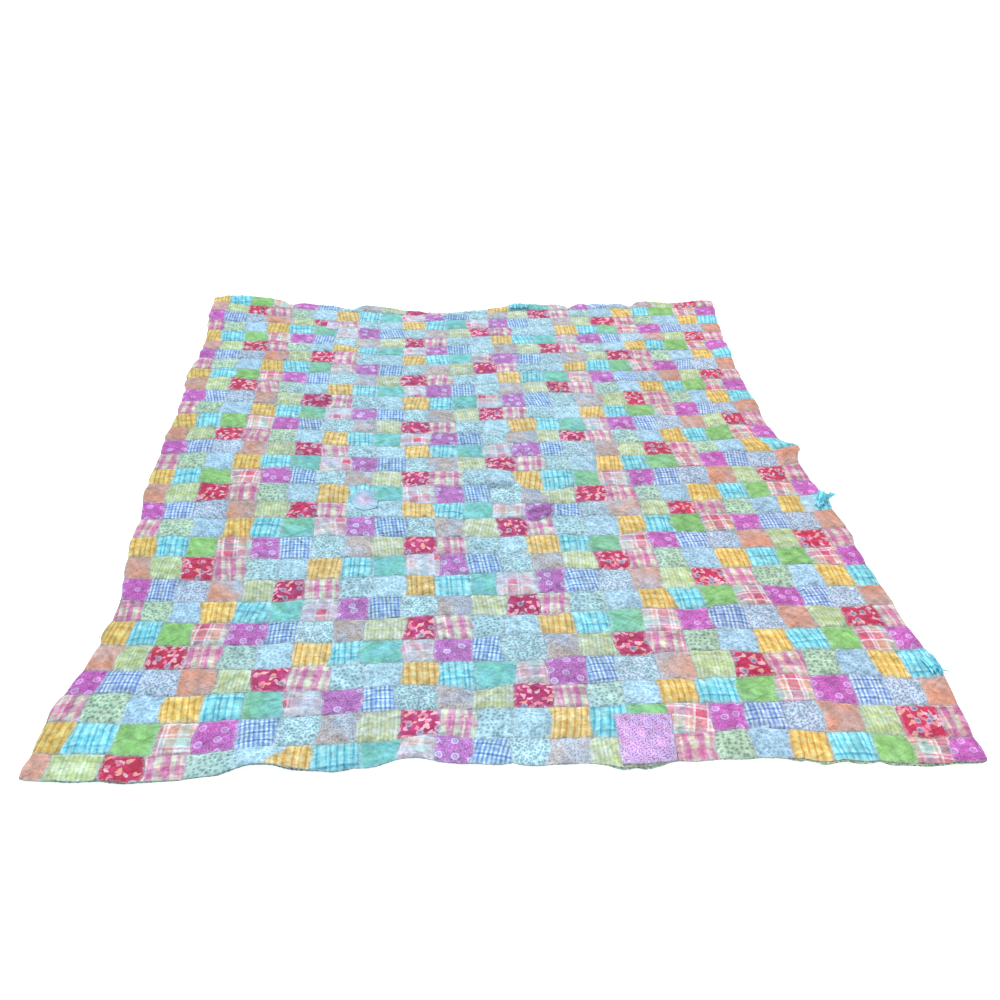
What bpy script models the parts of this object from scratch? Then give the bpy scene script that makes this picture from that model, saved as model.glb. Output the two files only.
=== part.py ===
"""A patchwork quilt, laid out on a floor.

The quilt is 24 columns by 30 rows of small squares, quilted through every seam, so its top and its wadding
are one sheet. A thinner backing lies under it and shows along the near edge. Three mends are sewn on top.
Three of the squares have torn, and their loose cloth stands at the edges in ruffles.

A place on the quilt is given flat, before it is laid: how far across from the middle column line (to the
right) and how far along from the near end. lay() then gives where that place lies on the floor, and rise()
how far it stands off the floor. +Y runs along the quilt, away from its near end, and +Z is up.
"""
from collections import namedtuple
from math import cos, exp, hypot, pi, radians, sin

import bmesh
import bpy
from mathutils import Vector
from mathutils.bvhtree import BVHTree

# Driving dimensions, in metres.
PATCH = 0.0735              # a whole square, seam to seam
COLUMNS = 24
ROWS = 30
LEFT_SHARE = 0.78           # the outer squares are trimmed: how much of each is left
RIGHT_SHARE = 0.82
NEAR_SHARE = 0.82
FAR_SHARE = 0.62
TOP_THICK = 0.0045          # pieced top with its wadding
BACKING_THICK = 0.0012
MEND_THICK = 0.001
TORN_THICK = 0.0012
GAP = 0.00035               # between the backing and the top
SEWN_GAP = 0.0005           # between the top and the corners of what is sewn on it
BACKING_PEEP = 0.004        # the backing rolls out past the near edge by this much
SETTLE = 0.0015             # swells lower than this have settled flat
SHEET_CELLS = (34, 44)      # across and along
MEND_CELLS = 4              # each way
PLEAT_CELLS = 6             # over one pleat of torn cloth
TORN_CELLS_ALONG = 5
MID_RISE = 0.4              # of a torn pleat's height, the part that its middle stands above its ends
WAVE = 0.12                 # of a torn square's length, how far its torn end is out of line
WAVE_TURNS = 5              # radians of that wave, from one side to the other
MILLIMETRE = 0.001          # the tugs and folds are in millimetres
MIDDLE = (0.0050, 1.0894)   # the middle of the outline as it lies, which becomes the origin

# The flat sheet's four sides.
LEFT = -(COLUMNS / 2 - 1 + LEFT_SHARE) * PATCH
RIGHT = (COLUMNS / 2 - 1 + RIGHT_SHARE) * PATCH
NEAR = (1 - NEAR_SHARE) * PATCH
FAR = (ROWS - 1 + FAR_SHARE) * PATCH

# Where the cloth is tugged along the floor: a place and how far the tug reaches (m), and its shift (mm).
Tug = namedtuple("Tug", "name across along reach_across reach_along shift_across shift_along")
TUGS = (
    Tug("far left corner", -0.80, 2.16, 0.28, 0.25, -30, 42),
    Tug("far dip", -0.20, 2.20, 0.42, 0.28, 0, -62),
    Tug("far edge hollow", -0.06, 2.19, 0.13, 0.06, 0, -34),
    Tug("far right corner", 0.88, 2.20, 0.22, 0.22, 36, 10),
    Tug("upper middle", -0.15, 1.50, 0.50, 0.55, 0, -30),
    Tug("upper left", -0.80, 1.42, 0.25, 0.35, 0, 26),
    Tug("upper right", 0.80, 1.70, 0.22, 0.35, 0, 16),
    Tug("right waist", 0.92, 1.36, 0.24, 0.32, -44, 0),
    Tug("left waist", -0.92, 0.45, 0.20, 0.26, 48, 0),
    Tug("left hip", -0.55, 0.58, 0.25, 0.25, 12, -6),
    Tug("lower middle", 0.00, 0.50, 0.95, 0.38, 0, -20),
    Tug("lower right", 0.68, 0.22, 0.30, 0.22, 18, 0),
    Tug("near right corner", 0.85, 0.02, 0.24, 0.18, -18, -36),
    Tug("near middle", 0.12, 0.00, 0.34, 0.10, -22, 0),
    Tug("near edge", 0.30, -0.05, 0.60, 0.10, 0, -14),
    Tug("near arch", -0.20, -0.02, 0.09, 0.07, 0, 14),
    Tug("near arch peak", -0.175, -0.01, 0.045, 0.06, 0, 13),
    Tug("near left arch", -0.485, -0.01, 0.075, 0.07, 0, 17),
    Tug("near right edge", 0.55, 0.00, 0.07, 0.06, 0, -9),
    Tug("near tab", 0.22, -0.02, 0.05, 0.06, 0, -16),
    Tug("near left corner", -0.86, 0.04, 0.12, 0.16, -12, 0),
    Tug("near left", -0.68, 0.05, 0.18, 0.12, 0, -16),
    Tug("right edge step", 0.89, 1.09, 0.08, 0.035, 24, 0),
)

# Where the cloth stands off the floor: a fold's line and half width (m), and its height (mm).
Fold = namedtuple("Fold", "name from_across from_along to_across to_along half_width height")
FOLDS = (
    Fold("middle ridge", 0.02, 0.985, 0.125, 0.865, 0.042, 17),
    Fold("middle bulge", 0.08, 0.835, 0.13, 0.830, 0.042, 9),
    Fold("middle swell", -0.24, 1.00, -0.08, 1.03, 0.070, 6),
    Fold("near arch left", -0.48, -0.03, -0.47, 0.01, 0.060, 19),
    Fold("near arch middle", -0.20, -0.03, -0.20, 0.01, 0.055, 12),
    Fold("near right swell", 0.46, 0.00, 0.62, 0.00, 0.060, 6),
    Fold("near right corner", 0.85, 0.00, 0.86, 0.04, 0.050, 9),
    Fold("near left corner", -0.84, 0.03, -0.80, 0.00, 0.050, 5),
    Fold("right edge puff", 0.87, 1.09, 0.87, 1.07, 0.055, 20),
    Fold("upper right puff", 0.86, 1.37, 0.86, 1.34, 0.055, 13),
    Fold("far right puff", 0.87, 1.76, 0.87, 1.73, 0.055, 12),
    Fold("torn square rise", 0.87, 0.88, 0.87, 0.83, 0.055, 10),
    Fold("front tear rise", 0.87, 0.26, 0.87, 0.24, 0.050, 8),
    Fold("left edge puff", -0.86, 1.74, -0.86, 1.70, 0.055, 9),
    Fold("far left edge puff", -0.86, 2.06, -0.86, 2.00, 0.055, 8),
    Fold("far left rise", -0.80, 2.16, -0.68, 2.16, 0.060, 12),
    Fold("far edge puff", -0.36, 2.17, -0.30, 2.17, 0.050, 14),
    Fold("far tuft rise", 0.18, 2.17, 0.21, 2.17, 0.050, 14),
    Fold("far right rise", 0.62, 2.17, 0.66, 2.17, 0.050, 13),
    Fold("far right corner", 0.83, 2.17, 0.86, 2.15, 0.060, 8),
    Fold("upper left swell", -0.62, 1.85, -0.40, 1.80, 0.090, 6),
    Fold("upper right swell", 0.45, 1.75, 0.70, 1.85, 0.090, 7),
    Fold("right shoulder", 0.55, 1.40, 0.72, 1.30, 0.070, 8),
    Fold("right swell", 0.52, 1.02, 0.68, 1.10, 0.080, 9),
    Fold("left swell", -0.70, 0.95, -0.52, 1.05, 0.090, 6),
    Fold("lower left swell", -0.62, 0.42, -0.42, 0.38, 0.090, 6),
    Fold("lower right swell", 0.50, 0.45, 0.72, 0.55, 0.090, 6),
    Fold("lower middle swell", -0.05, 0.42, 0.12, 0.36, 0.080, 5),
)

# Mends cut square: where the middle lies, flat, with the width, length and turn of each.
Mend = namedtuple("Mend", "name across along width length turn colour")
SQUARE_MENDS = (
    Mend("square_mend", 0.244, 0.070, 0.104, 0.104, -2.5, (0.86, 0.55, 0.80)),
    Mend("small_mend", -0.459, 1.985, 0.040, 0.070, -4.0, (0.84, 0.78, 0.92)),
)
# The round mend is given in the same way, with how many sides its cut edge has.
ROUND_MEND = Mend("round_mend", -0.317, 0.885, 0.068, 0.082, 10.0, (0.84, 0.78, 0.92))
ROUND_SIDES = 28

# Torn squares: where each ruffle's middle lies, flat, its width over the pleats, its length along them,
# how many pleats it has, how high they stand, how far they fan out at the far end, and the ruffle's turn.
Torn = namedtuple("Torn", "name across along width length pleats height fan turn")
TORN_SQUARES = (
    Torn("torn_square", 0.855, 0.848, 0.036, 0.078, 2.5, 0.009, 1.20, -24.0),
    Torn("frayed_front", 0.852, 0.242, 0.028, 0.044, 1.5, 0.007, 1.15, 12.0),
    Torn("frayed_far", 0.184, 2.146, 0.072, 0.026, 2.5, 0.008, 0.90, 4.0),
)

COLOURS = {
    "quilt_top": (0.72, 0.80, 0.86),
    "backing": (0.68, 0.82, 0.76),
    "torn": (0.35, 0.82, 0.90),
}


def clear_scene():
    """Start with no objects."""
    for thing in list(bpy.data.objects):
        bpy.data.objects.remove(thing, do_unlink=True)


def lay(across, along):
    """Where a place on the flat quilt lies on the floor, from the origin."""
    x = across - MIDDLE[0]
    y = along - MIDDLE[1]
    for tug in TUGS:
        off_across = (across - tug.across) / tug.reach_across
        off_along = (along - tug.along) / tug.reach_along
        pull = MILLIMETRE * exp(-off_across ** 2 - off_along ** 2)
        x += pull * tug.shift_across
        y += pull * tug.shift_along
    return x, y


def rise(across, along):
    """How far the quilt's underside stands off the floor at a place on the flat quilt."""
    total = -SETTLE
    for fold in FOLDS:
        run_x = fold.to_across - fold.from_across
        run_y = fold.to_along - fold.from_along
        share = (across - fold.from_across) * run_x + (along - fold.from_along) * run_y
        share = min(1.0, max(0.0, share / (run_x ** 2 + run_y ** 2)))
        off_x = across - fold.from_across - share * run_x
        off_y = along - fold.from_along - share * run_y
        total += MILLIMETRE * fold.height * exp(-(hypot(off_x, off_y) / fold.half_width) ** 2)
    return max(0.0, total)


def fabric(name, colour):
    """A plain matt cloth."""
    material = bpy.data.materials.new(name)
    material.use_nodes = True
    shader = material.node_tree.nodes["Principled BSDF"]
    shader.inputs["Base Color"].default_value = (*colour, 1.0)
    shader.inputs["Roughness"].default_value = 0.95
    shader.inputs["Metallic"].default_value = 0.0
    return material


def name_piece(piece, name, colour, collection):
    """Name a new piece, give it its cloth and put it in the quilt's collection."""
    piece.name = name
    piece.data.name = name
    piece.data.materials.append(fabric(name, colour))
    for holder in list(piece.users_collection):
        holder.objects.unlink(piece)
    collection.objects.link(piece)


def thicken(piece, thickness, side):
    """Give an open sheet its thickness, above it (side 1) or below it (side -1)."""
    triangles = piece.modifiers.new("Triangles", "TRIANGULATE")
    triangles.quad_method = "FIXED"
    solid = piece.modifiers.new("Thickness", "SOLIDIFY")
    solid.thickness = thickness
    solid.offset = side


def flat_grid(cells_across, cells_along):
    """A square grid, one unit wide, centred on the origin."""
    bpy.ops.mesh.primitive_grid_add(x_subdivisions=cells_across, y_subdivisions=cells_along, size=1)
    return bpy.context.object


def laid_sheet(name, lift, thickness, side, colour, collection):
    """The whole quilt's sheet, laid in its folds."""
    piece = flat_grid(*SHEET_CELLS)
    for vertex in piece.data.vertices:
        across = LEFT + (vertex.co.x + 0.5) * (RIGHT - LEFT)
        along = NEAR + (vertex.co.y + 0.5) * (FAR - NEAR)
        x, y = lay(across, along)
        vertex.co = (x, y, rise(across, along) + lift)
    name_piece(piece, name, colour, collection)
    thicken(piece, thickness, side)
    return piece


def roll_out_near_edge(piece, width):
    """Carry a sheet's near edge on by a narrow level strip."""
    mesh = bmesh.new()
    mesh.from_mesh(piece.data)
    near_row = sorted(mesh.verts, key=lambda vertex: vertex.index)[:SHEET_CELLS[0] + 1]
    kept = set(near_row)
    edges = [edge for edge in mesh.edges if edge.verts[0] in kept and edge.verts[1] in kept]
    grown = bmesh.ops.extrude_edge_only(mesh, edges=edges)["geom"]
    strip = [part for part in grown if isinstance(part, bmesh.types.BMVert)]
    bmesh.ops.translate(mesh, verts=strip, vec=(0, -width, 0))
    bmesh.ops.recalc_face_normals(mesh, faces=mesh.faces)
    mesh.to_mesh(piece.data)
    mesh.free()


def turned(x, y, degrees):
    """A point turned about the origin."""
    angle = radians(degrees)
    return x * cos(angle) - y * sin(angle), x * sin(angle) + y * cos(angle)


def lay_piece(piece, plan):
    """Turn a small piece and lay it at its place on the quilt."""
    for vertex in piece.data.vertices:
        x, y = turned(vertex.co.x, vertex.co.y, plan.turn)
        x, y = lay(plan.across + x, plan.along + y)
        vertex.co = (x, y, vertex.co.z)


def square_mend(plan, collection):
    """A mend cut square and sewn on."""
    piece = flat_grid(MEND_CELLS, MEND_CELLS)
    for vertex in piece.data.vertices:
        vertex.co.x *= plan.width
        vertex.co.y *= plan.length
    lay_piece(piece, plan)
    name_piece(piece, plan.name, plan.colour, collection)
    thicken(piece, MEND_THICK, 1)
    return piece


def round_mend(plan, collection):
    """A mend cut roughly round and sewn on."""
    bpy.ops.mesh.primitive_circle_add(vertices=ROUND_SIDES, radius=0.5, fill_type="TRIFAN")
    piece = bpy.context.object
    for vertex in piece.data.vertices:
        vertex.co.x *= plan.width
        vertex.co.y *= plan.length
    lay_piece(piece, plan)
    name_piece(piece, plan.name, plan.colour, collection)
    thicken(piece, MEND_THICK, 1)
    return piece


def torn_square(plan, collection):
    """Torn cloth, bunched into pleats that fan out towards one end."""
    piece = flat_grid(round(plan.pleats * PLEAT_CELLS), TORN_CELLS_ALONG)
    for vertex in piece.data.vertices:
        over = vertex.co.x
        down = vertex.co.y
        spread = 1 + (plan.fan - 1) * (down + 0.5)
        ripple = 0.5 - 0.5 * cos(2 * pi * plan.pleats * (over + 0.5))
        droop = 1 - MID_RISE + MID_RISE * cos(pi * down)
        vertex.co.x = plan.width * over * spread
        vertex.co.y = plan.length * down * (1 + WAVE * sin(WAVE_TURNS * over))
        vertex.co.z = plan.height * ripple * droop
    lay_piece(piece, plan)
    name_piece(piece, plan.name, COLOURS["torn"], collection)
    thicken(piece, TORN_THICK, 1)
    return piece


def surface_of(piece):
    """A finished piece's corners and a tree of its faces, in world space."""
    bpy.context.view_layer.update()
    shaped = piece.evaluated_get(bpy.context.evaluated_depsgraph_get())
    mesh = shaped.to_mesh()
    corners = [shaped.matrix_world @ vertex.co for vertex in mesh.vertices]
    faces = [tuple(face.vertices) for face in mesh.polygons]
    shaped.to_mesh_clear()
    return corners, BVHTree.FromPolygons(corners, faces)


def settle(piece, sheet):
    """Lower a piece until its closest corner is one gap above the sheet."""
    up = Vector((0, 0, 1))
    sheet_corners, sheet_tree = surface_of(sheet)
    piece.location.z = 1.0
    piece_corners, piece_tree = surface_of(piece)
    clearances = []
    for corner in piece_corners:
        hit = sheet_tree.ray_cast(corner, -up)[0]
        if hit is not None:
            clearances.append(corner.z - hit.z)
    for corner in sheet_corners:
        hit = piece_tree.ray_cast(corner, up)[0]
        if hit is not None:
            clearances.append(hit.z - corner.z)
    piece.location.z -= min(clearances) - SEWN_GAP


def build():
    """Make the quilt."""
    clear_scene()
    quilt = bpy.data.collections.new("patchwork_quilt")
    bpy.context.scene.collection.children.link(quilt)

    backing = laid_sheet("backing", BACKING_THICK, BACKING_THICK, -1, COLOURS["backing"], quilt)
    roll_out_near_edge(backing, BACKING_PEEP)
    top = laid_sheet("quilt_top", BACKING_THICK + GAP, TOP_THICK, 1, COLOURS["quilt_top"], quilt)

    sewn_on = [square_mend(plan, quilt) for plan in SQUARE_MENDS]
    sewn_on.append(round_mend(ROUND_MEND, quilt))
    sewn_on += [torn_square(plan, quilt) for plan in TORN_SQUARES]
    for piece in sewn_on:
        settle(piece, top)


build()
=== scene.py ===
# %% [markdown]
# # A patchwork quilt, laid out on a floor
#
# The real quilt is pieced from 24 columns and 30 rows of small cotton squares in thirteen fabrics that
# take turns. It is quilted through every seam and has been washed many times, so each square puffs up a
# little between its seams and the cloth gathers along them. This lesson builds it as a maker would: the
# lie of the sheet first, then the seams, then the puffed squares, then the prints, and last the backing,
# the mends and the torn squares.

# %% Load the model's frame
from collections import namedtuple
from math import cos, pi, radians, sin

import bpy
import numpy as np
from mathutils import Euler, Matrix, Vector
from mathutils.bvhtree import BVHTree


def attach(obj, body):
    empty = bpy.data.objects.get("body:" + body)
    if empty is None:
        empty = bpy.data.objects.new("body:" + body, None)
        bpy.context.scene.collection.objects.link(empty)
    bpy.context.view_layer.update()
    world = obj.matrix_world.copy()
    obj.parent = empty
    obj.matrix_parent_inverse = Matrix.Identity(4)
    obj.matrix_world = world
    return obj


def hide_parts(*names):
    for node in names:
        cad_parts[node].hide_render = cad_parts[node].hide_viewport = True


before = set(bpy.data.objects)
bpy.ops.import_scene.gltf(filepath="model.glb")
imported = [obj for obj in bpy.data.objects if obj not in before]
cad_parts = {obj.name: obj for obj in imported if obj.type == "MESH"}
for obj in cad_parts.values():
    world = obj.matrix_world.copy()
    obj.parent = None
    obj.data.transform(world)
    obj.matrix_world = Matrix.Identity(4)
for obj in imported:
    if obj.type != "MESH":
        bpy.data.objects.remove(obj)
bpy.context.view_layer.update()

# %% [markdown]
# ## Camera, light and floor
#
# The quilt is seen as by a person who stands near its front edge and looks down along it. The light is a
# broad soft sky with a weak hazy sun beyond the far end, so that folds shade gently towards the viewer.
# The floor is plain, very pale and a little bright of itself, so that shadows on it stay faint. It could
# be a curved backdrop, but a flat plane fills the whole view from this height.

# %% The camera
CAMERA_PLACE = (-0.188, -2.310, 1.376)
CAMERA_DOWN, CAMERA_TURN, CAMERA_ROLL = 33.12, -5.63, 2.39   # degrees
LENS, SENSOR = 35.8, 36.0                                    # millimetres

bpy.ops.object.camera_add(location=CAMERA_PLACE)
camera = bpy.context.object
aim = Euler((radians(90 - CAMERA_DOWN), 0, radians(CAMERA_TURN))).to_matrix()
camera.rotation_euler = (aim @ Matrix.Rotation(radians(CAMERA_ROLL), 3, "Z")).to_euler()
camera.data.lens = LENS
camera.data.sensor_width = SENSOR
bpy.context.scene.camera = camera
print("camera at", CAMERA_PLACE)

# %% The light and the floor
SKY = 0.66                     # the light that comes from all over the sky
SUN = 1.75
SUN_WIDTH = 14.0               # degrees
SUN_FROM = (-0.45, 1.0, 1.25)
FLOOR_SIZE = 60.0
FLOOR_GLOW = 0.50

world = bpy.data.worlds.new("sky")
world.use_nodes = True
world.node_tree.nodes["Background"].inputs["Color"].default_value = (0.98, 0.99, 1.0, 1.0)
world.node_tree.nodes["Background"].inputs["Strength"].default_value = SKY
bpy.context.scene.world = world

bpy.ops.object.light_add(type="SUN")
sun = bpy.context.object
sun.data.energy = SUN
sun.data.angle = radians(SUN_WIDTH)
sun.rotation_euler = (-Vector(SUN_FROM)).to_track_quat("-Z", "Y").to_euler()

bpy.ops.mesh.primitive_plane_add(size=FLOOR_SIZE)
floor = bpy.context.object
floor.name = "floor"
floor_paint = bpy.data.materials.new("pale_floor")
floor_paint.use_nodes = True
floor_shader = floor_paint.node_tree.nodes["Principled BSDF"]
floor_shader.inputs["Base Color"].default_value = (0.97, 0.97, 0.97, 1.0)
floor_shader.inputs["Roughness"].default_value = 0.95
floor_shader.inputs["Specular IOR Level"].default_value = 0.1
floor_shader.inputs["Emission Color"].default_value = (1.0, 1.0, 1.0, 1.0)
floor_shader.inputs["Emission Strength"].default_value = FLOOR_GLOW
floor.data.materials.append(floor_paint)
bpy.context.scene.view_settings.view_transform = "Standard"
print("sun", SUN, "and sky", SKY, "over a floor", FLOOR_SIZE, "m wide")

# %% [markdown]
# ## The lie of the sheet
#
# A quilt never lies as a true rectangle: its edges wander and it stands up in a few soft folds. The sheet
# is first thought of flat, and a place on it is given as how far across and how far along it is. A table
# of tugs moves that place over the floor, and a table of folds lifts it. Sums of soft bumps do this
# without a simulation, and they give the same lie each time, which is the lie of the plain model in the
# frame.

# %% Sizes, in metres
PATCH = 0.0735               # a whole square, seam to seam
COLUMNS, ROWS = 24, 30
LEFT_SHARE, RIGHT_SHARE = 0.78, 0.82     # the outer squares are trimmed: how much of each is left
NEAR_SHARE, FAR_SHARE = 0.82, 0.62
MIDDLE = (0.0050, 1.0894)    # the place on the flat sheet that is the origin
MILLIMETRE = 0.001
SETTLE = 0.0015              # swells lower than this have settled flat

LEFT = -(COLUMNS / 2 - 1 + LEFT_SHARE) * PATCH
RIGHT = (COLUMNS / 2 - 1 + RIGHT_SHARE) * PATCH
NEAR = (1 - NEAR_SHARE) * PATCH
FAR = (ROWS - 1 + FAR_SHARE) * PATCH
print("flat sheet:", round(RIGHT - LEFT, 3), "by", round(FAR - NEAR, 3))

# %% Where the cloth is tugged along the floor: a place and a reach (m), and the shift (mm)
Tug = namedtuple("Tug", "name across along reach_across reach_along shift_across shift_along")
TUGS = (
    Tug("far left corner", -0.80, 2.16, 0.28, 0.25, -30, 42),
    Tug("far dip", -0.20, 2.20, 0.42, 0.28, 0, -62),
    Tug("far edge hollow", -0.06, 2.19, 0.13, 0.06, 0, -34),
    Tug("far right corner", 0.88, 2.20, 0.22, 0.22, 36, 10),
    Tug("upper middle", -0.15, 1.50, 0.50, 0.55, 0, -30),
    Tug("upper left", -0.80, 1.42, 0.25, 0.35, 0, 26),
    Tug("upper right", 0.80, 1.70, 0.22, 0.35, 0, 16),
    Tug("right waist", 0.92, 1.36, 0.24, 0.32, -44, 0),
    Tug("left waist", -0.92, 0.45, 0.20, 0.26, 48, 0),
    Tug("left hip", -0.55, 0.58, 0.25, 0.25, 12, -6),
    Tug("lower middle", 0.00, 0.50, 0.95, 0.38, 0, -20),
    Tug("lower right", 0.68, 0.22, 0.30, 0.22, 18, 0),
    Tug("near right corner", 0.85, 0.02, 0.24, 0.18, -18, -36),
    Tug("near middle", 0.12, 0.00, 0.34, 0.10, -22, 0),
    Tug("near edge", 0.30, -0.05, 0.60, 0.10, 0, -14),
    Tug("near arch", -0.20, -0.02, 0.09, 0.07, 0, 14),
    Tug("near arch peak", -0.175, -0.01, 0.045, 0.06, 0, 13),
    Tug("near left arch", -0.485, -0.01, 0.075, 0.07, 0, 17),
    Tug("near right edge", 0.55, 0.00, 0.07, 0.06, 0, -9),
    Tug("near tab", 0.22, -0.02, 0.05, 0.06, 0, -16),
    Tug("near left corner", -0.86, 0.04, 0.12, 0.16, -12, 0),
    Tug("near left", -0.68, 0.05, 0.18, 0.12, 0, -16),
    Tug("right edge step", 0.89, 1.09, 0.08, 0.035, 24, 0),
)

# %% Where the cloth stands off the floor: a fold's line and half width (m), and its height (mm)
Fold = namedtuple("Fold", "name from_across from_along to_across to_along half_width height")
FOLDS = (
    Fold("middle ridge", 0.02, 0.985, 0.125, 0.865, 0.042, 17),
    Fold("middle bulge", 0.08, 0.835, 0.13, 0.830, 0.042, 9),
    Fold("middle swell", -0.24, 1.00, -0.08, 1.03, 0.070, 6),
    Fold("near arch left", -0.48, -0.03, -0.47, 0.01, 0.060, 19),
    Fold("near arch middle", -0.20, -0.03, -0.20, 0.01, 0.055, 12),
    Fold("near right swell", 0.46, 0.00, 0.62, 0.00, 0.060, 6),
    Fold("near right corner", 0.85, 0.00, 0.86, 0.04, 0.050, 9),
    Fold("near left corner", -0.84, 0.03, -0.80, 0.00, 0.050, 5),
    Fold("right edge puff", 0.87, 1.09, 0.87, 1.07, 0.055, 20),
    Fold("upper right puff", 0.86, 1.37, 0.86, 1.34, 0.055, 13),
    Fold("far right puff", 0.87, 1.76, 0.87, 1.73, 0.055, 12),
    Fold("torn square rise", 0.87, 0.88, 0.87, 0.83, 0.055, 10),
    Fold("front tear rise", 0.87, 0.26, 0.87, 0.24, 0.050, 8),
    Fold("left edge puff", -0.86, 1.74, -0.86, 1.70, 0.055, 9),
    Fold("far left edge puff", -0.86, 2.06, -0.86, 2.00, 0.055, 8),
    Fold("far left rise", -0.80, 2.16, -0.68, 2.16, 0.060, 12),
    Fold("far edge puff", -0.36, 2.17, -0.30, 2.17, 0.050, 14),
    Fold("far tuft rise", 0.18, 2.17, 0.21, 2.17, 0.050, 14),
    Fold("far right rise", 0.62, 2.17, 0.66, 2.17, 0.050, 13),
    Fold("far right corner", 0.83, 2.17, 0.86, 2.15, 0.060, 8),
    Fold("upper left swell", -0.62, 1.85, -0.40, 1.80, 0.090, 6),
    Fold("upper right swell", 0.45, 1.75, 0.70, 1.85, 0.090, 7),
    Fold("right shoulder", 0.55, 1.40, 0.72, 1.30, 0.070, 8),
    Fold("right swell", 0.52, 1.02, 0.68, 1.10, 0.080, 9),
    Fold("left swell", -0.70, 0.95, -0.52, 1.05, 0.090, 6),
    Fold("lower left swell", -0.62, 0.42, -0.42, 0.38, 0.090, 6),
    Fold("lower right swell", 0.50, 0.45, 0.72, 0.55, 0.090, 6),
    Fold("lower middle swell", -0.05, 0.42, 0.12, 0.36, 0.080, 5),
)

# %% Narrow creases on those folds, in the same way, with troughs below nought
CREASES = (
    Fold("ridge crest", 0.040, 0.972, 0.075, 0.915, 0.013, 4),
    Fold("ridge crest end", 0.075, 0.915, 0.106, 0.884, 0.013, 5),
    Fold("ridge far side", 0.070, 0.980, 0.098, 0.925, 0.012, -9),
    Fold("ridge far side end", 0.098, 0.925, 0.134, 0.898, 0.011, -9),
    Fold("pale square trough", 0.010, 0.940, 0.050, 0.926, 0.007, -8),
    Fold("pale square fold", 0.005, 0.954, 0.050, 0.940, 0.009, 3),
    Fold("white square foot", 0.015, 0.800, 0.060, 0.797, 0.007, -3),
    Fold("bulge brow", 0.084, 0.822, 0.132, 0.822, 0.014, 6),
    Fold("bulge crease", 0.094, 0.811, 0.128, 0.813, 0.005, -4),
    Fold("bulge foot left", 0.073, 0.800, 0.090, 0.788, 0.006, -6),
    Fold("bulge foot", 0.090, 0.787, 0.130, 0.792, 0.007, -8),
    Fold("near arch crease", -0.43, 0.05, -0.36, 0.00, 0.012, -4),
    Fold("orange fold", -0.50, 0.02, -0.44, 0.045, 0.010, 4),
    Fold("right step crease", 0.80, 1.13, 0.90, 1.09, 0.012, 5),
    Fold("far left notch", -0.603, 2.19, -0.600, 2.14, 0.016, -6),
    Fold("far dip notch", -0.405, 2.19, -0.400, 2.14, 0.022, -6),
    Fold("far middle notch", 0.366, 2.19, 0.366, 2.14, 0.020, -6),
    Fold("far right notch", 0.583, 2.19, 0.583, 2.14, 0.018, -8),
)


# %% Lay a place on the floor, and lift it
def lay(across, along):
    """Where places on the flat sheet lie on the floor, from the origin."""
    x = across - MIDDLE[0]
    y = along - MIDDLE[1]
    for tug in TUGS:
        off_across = (across - tug.across) / tug.reach_across
        off_along = (along - tug.along) / tug.reach_along
        pull = MILLIMETRE * np.exp(-off_across ** 2 - off_along ** 2)
        x = x + pull * tug.shift_across
        y = y + pull * tug.shift_along
    return x, y


def lift(folds, across, along):
    """How far some folds lift the sheet at each place."""
    total = 0.0 * across
    for fold in folds:
        run_x = fold.to_across - fold.from_across
        run_y = fold.to_along - fold.from_along
        share = (across - fold.from_across) * run_x + (along - fold.from_along) * run_y
        share = np.clip(share / (run_x ** 2 + run_y ** 2), 0.0, 1.0)
        off_x = across - fold.from_across - share * run_x
        off_y = along - fold.from_along - share * run_y
        total += MILLIMETRE * fold.height * np.exp(-(off_x ** 2 + off_y ** 2) / fold.half_width ** 2)
    return total


def rise(across, along):
    """How far the sheet's underside stands off the floor."""
    return np.maximum(0.0, lift(FOLDS, across, along) - SETTLE)


print(len(TUGS), "tugs,", len(FOLDS), "folds and", len(CREASES), "creases")

# %% [markdown]
# ## A soft unevenness
#
# Hand work is uneven but never jagged. Blender's own noise could be used, but one small helper that gives
# smooth random heights from a fixed table is quick over many points, and the quilt comes out the same
# each time. Seams, puffs, gathers and wrinkles all draw on it at their own scale.


# %% Smooth random heights
TABLE = 64                    # random heights each way, before they repeat


def unevenness(x, y, seed):
    """Smooth random heights between -1 and 1, at places counted in cells."""
    table = np.random.default_rng(seed).random((TABLE, TABLE)) * 2 - 1
    cell_x, cell_y = np.floor(x).astype(int), np.floor(y).astype(int)
    part_x, part_y = x - cell_x, y - cell_y
    part_x, part_y = part_x ** 2 * (3 - 2 * part_x), part_y ** 2 * (3 - 2 * part_y)
    left, right = cell_x % TABLE, (cell_x + 1) % TABLE
    near, far = cell_y % TABLE, (cell_y + 1) % TABLE
    at_near = table[left, near] * (1 - part_x) + table[right, near] * part_x
    at_far = table[left, far] * (1 - part_x) + table[right, far] * part_x
    return at_near * (1 - part_y) + at_far * part_y


# %% Small swells all over the sheet
SWELL = 0.0048                # metres
SWELL_ACROSS, SWELL_ALONG = 0.075, 0.062
WIDER = 3                     # how much wider the second set of swells is


def ground(across, along, creases=CREASES):
    """How far the finished sheet stands off the floor, with its folds, its creases and its small swells."""
    small = unevenness(across / SWELL_ACROSS, along / SWELL_ALONG, 71)
    wide = unevenness(across / (WIDER * SWELL_ACROSS), along / (WIDER * SWELL_ALONG), 72)
    swells = SWELL * (0.8 * small + 0.6 * wide)
    return np.maximum(0.0, rise(across, along) + lift(creases, across, along) + swells)


print("small swells of", SWELL * 1000, "mm")


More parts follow.
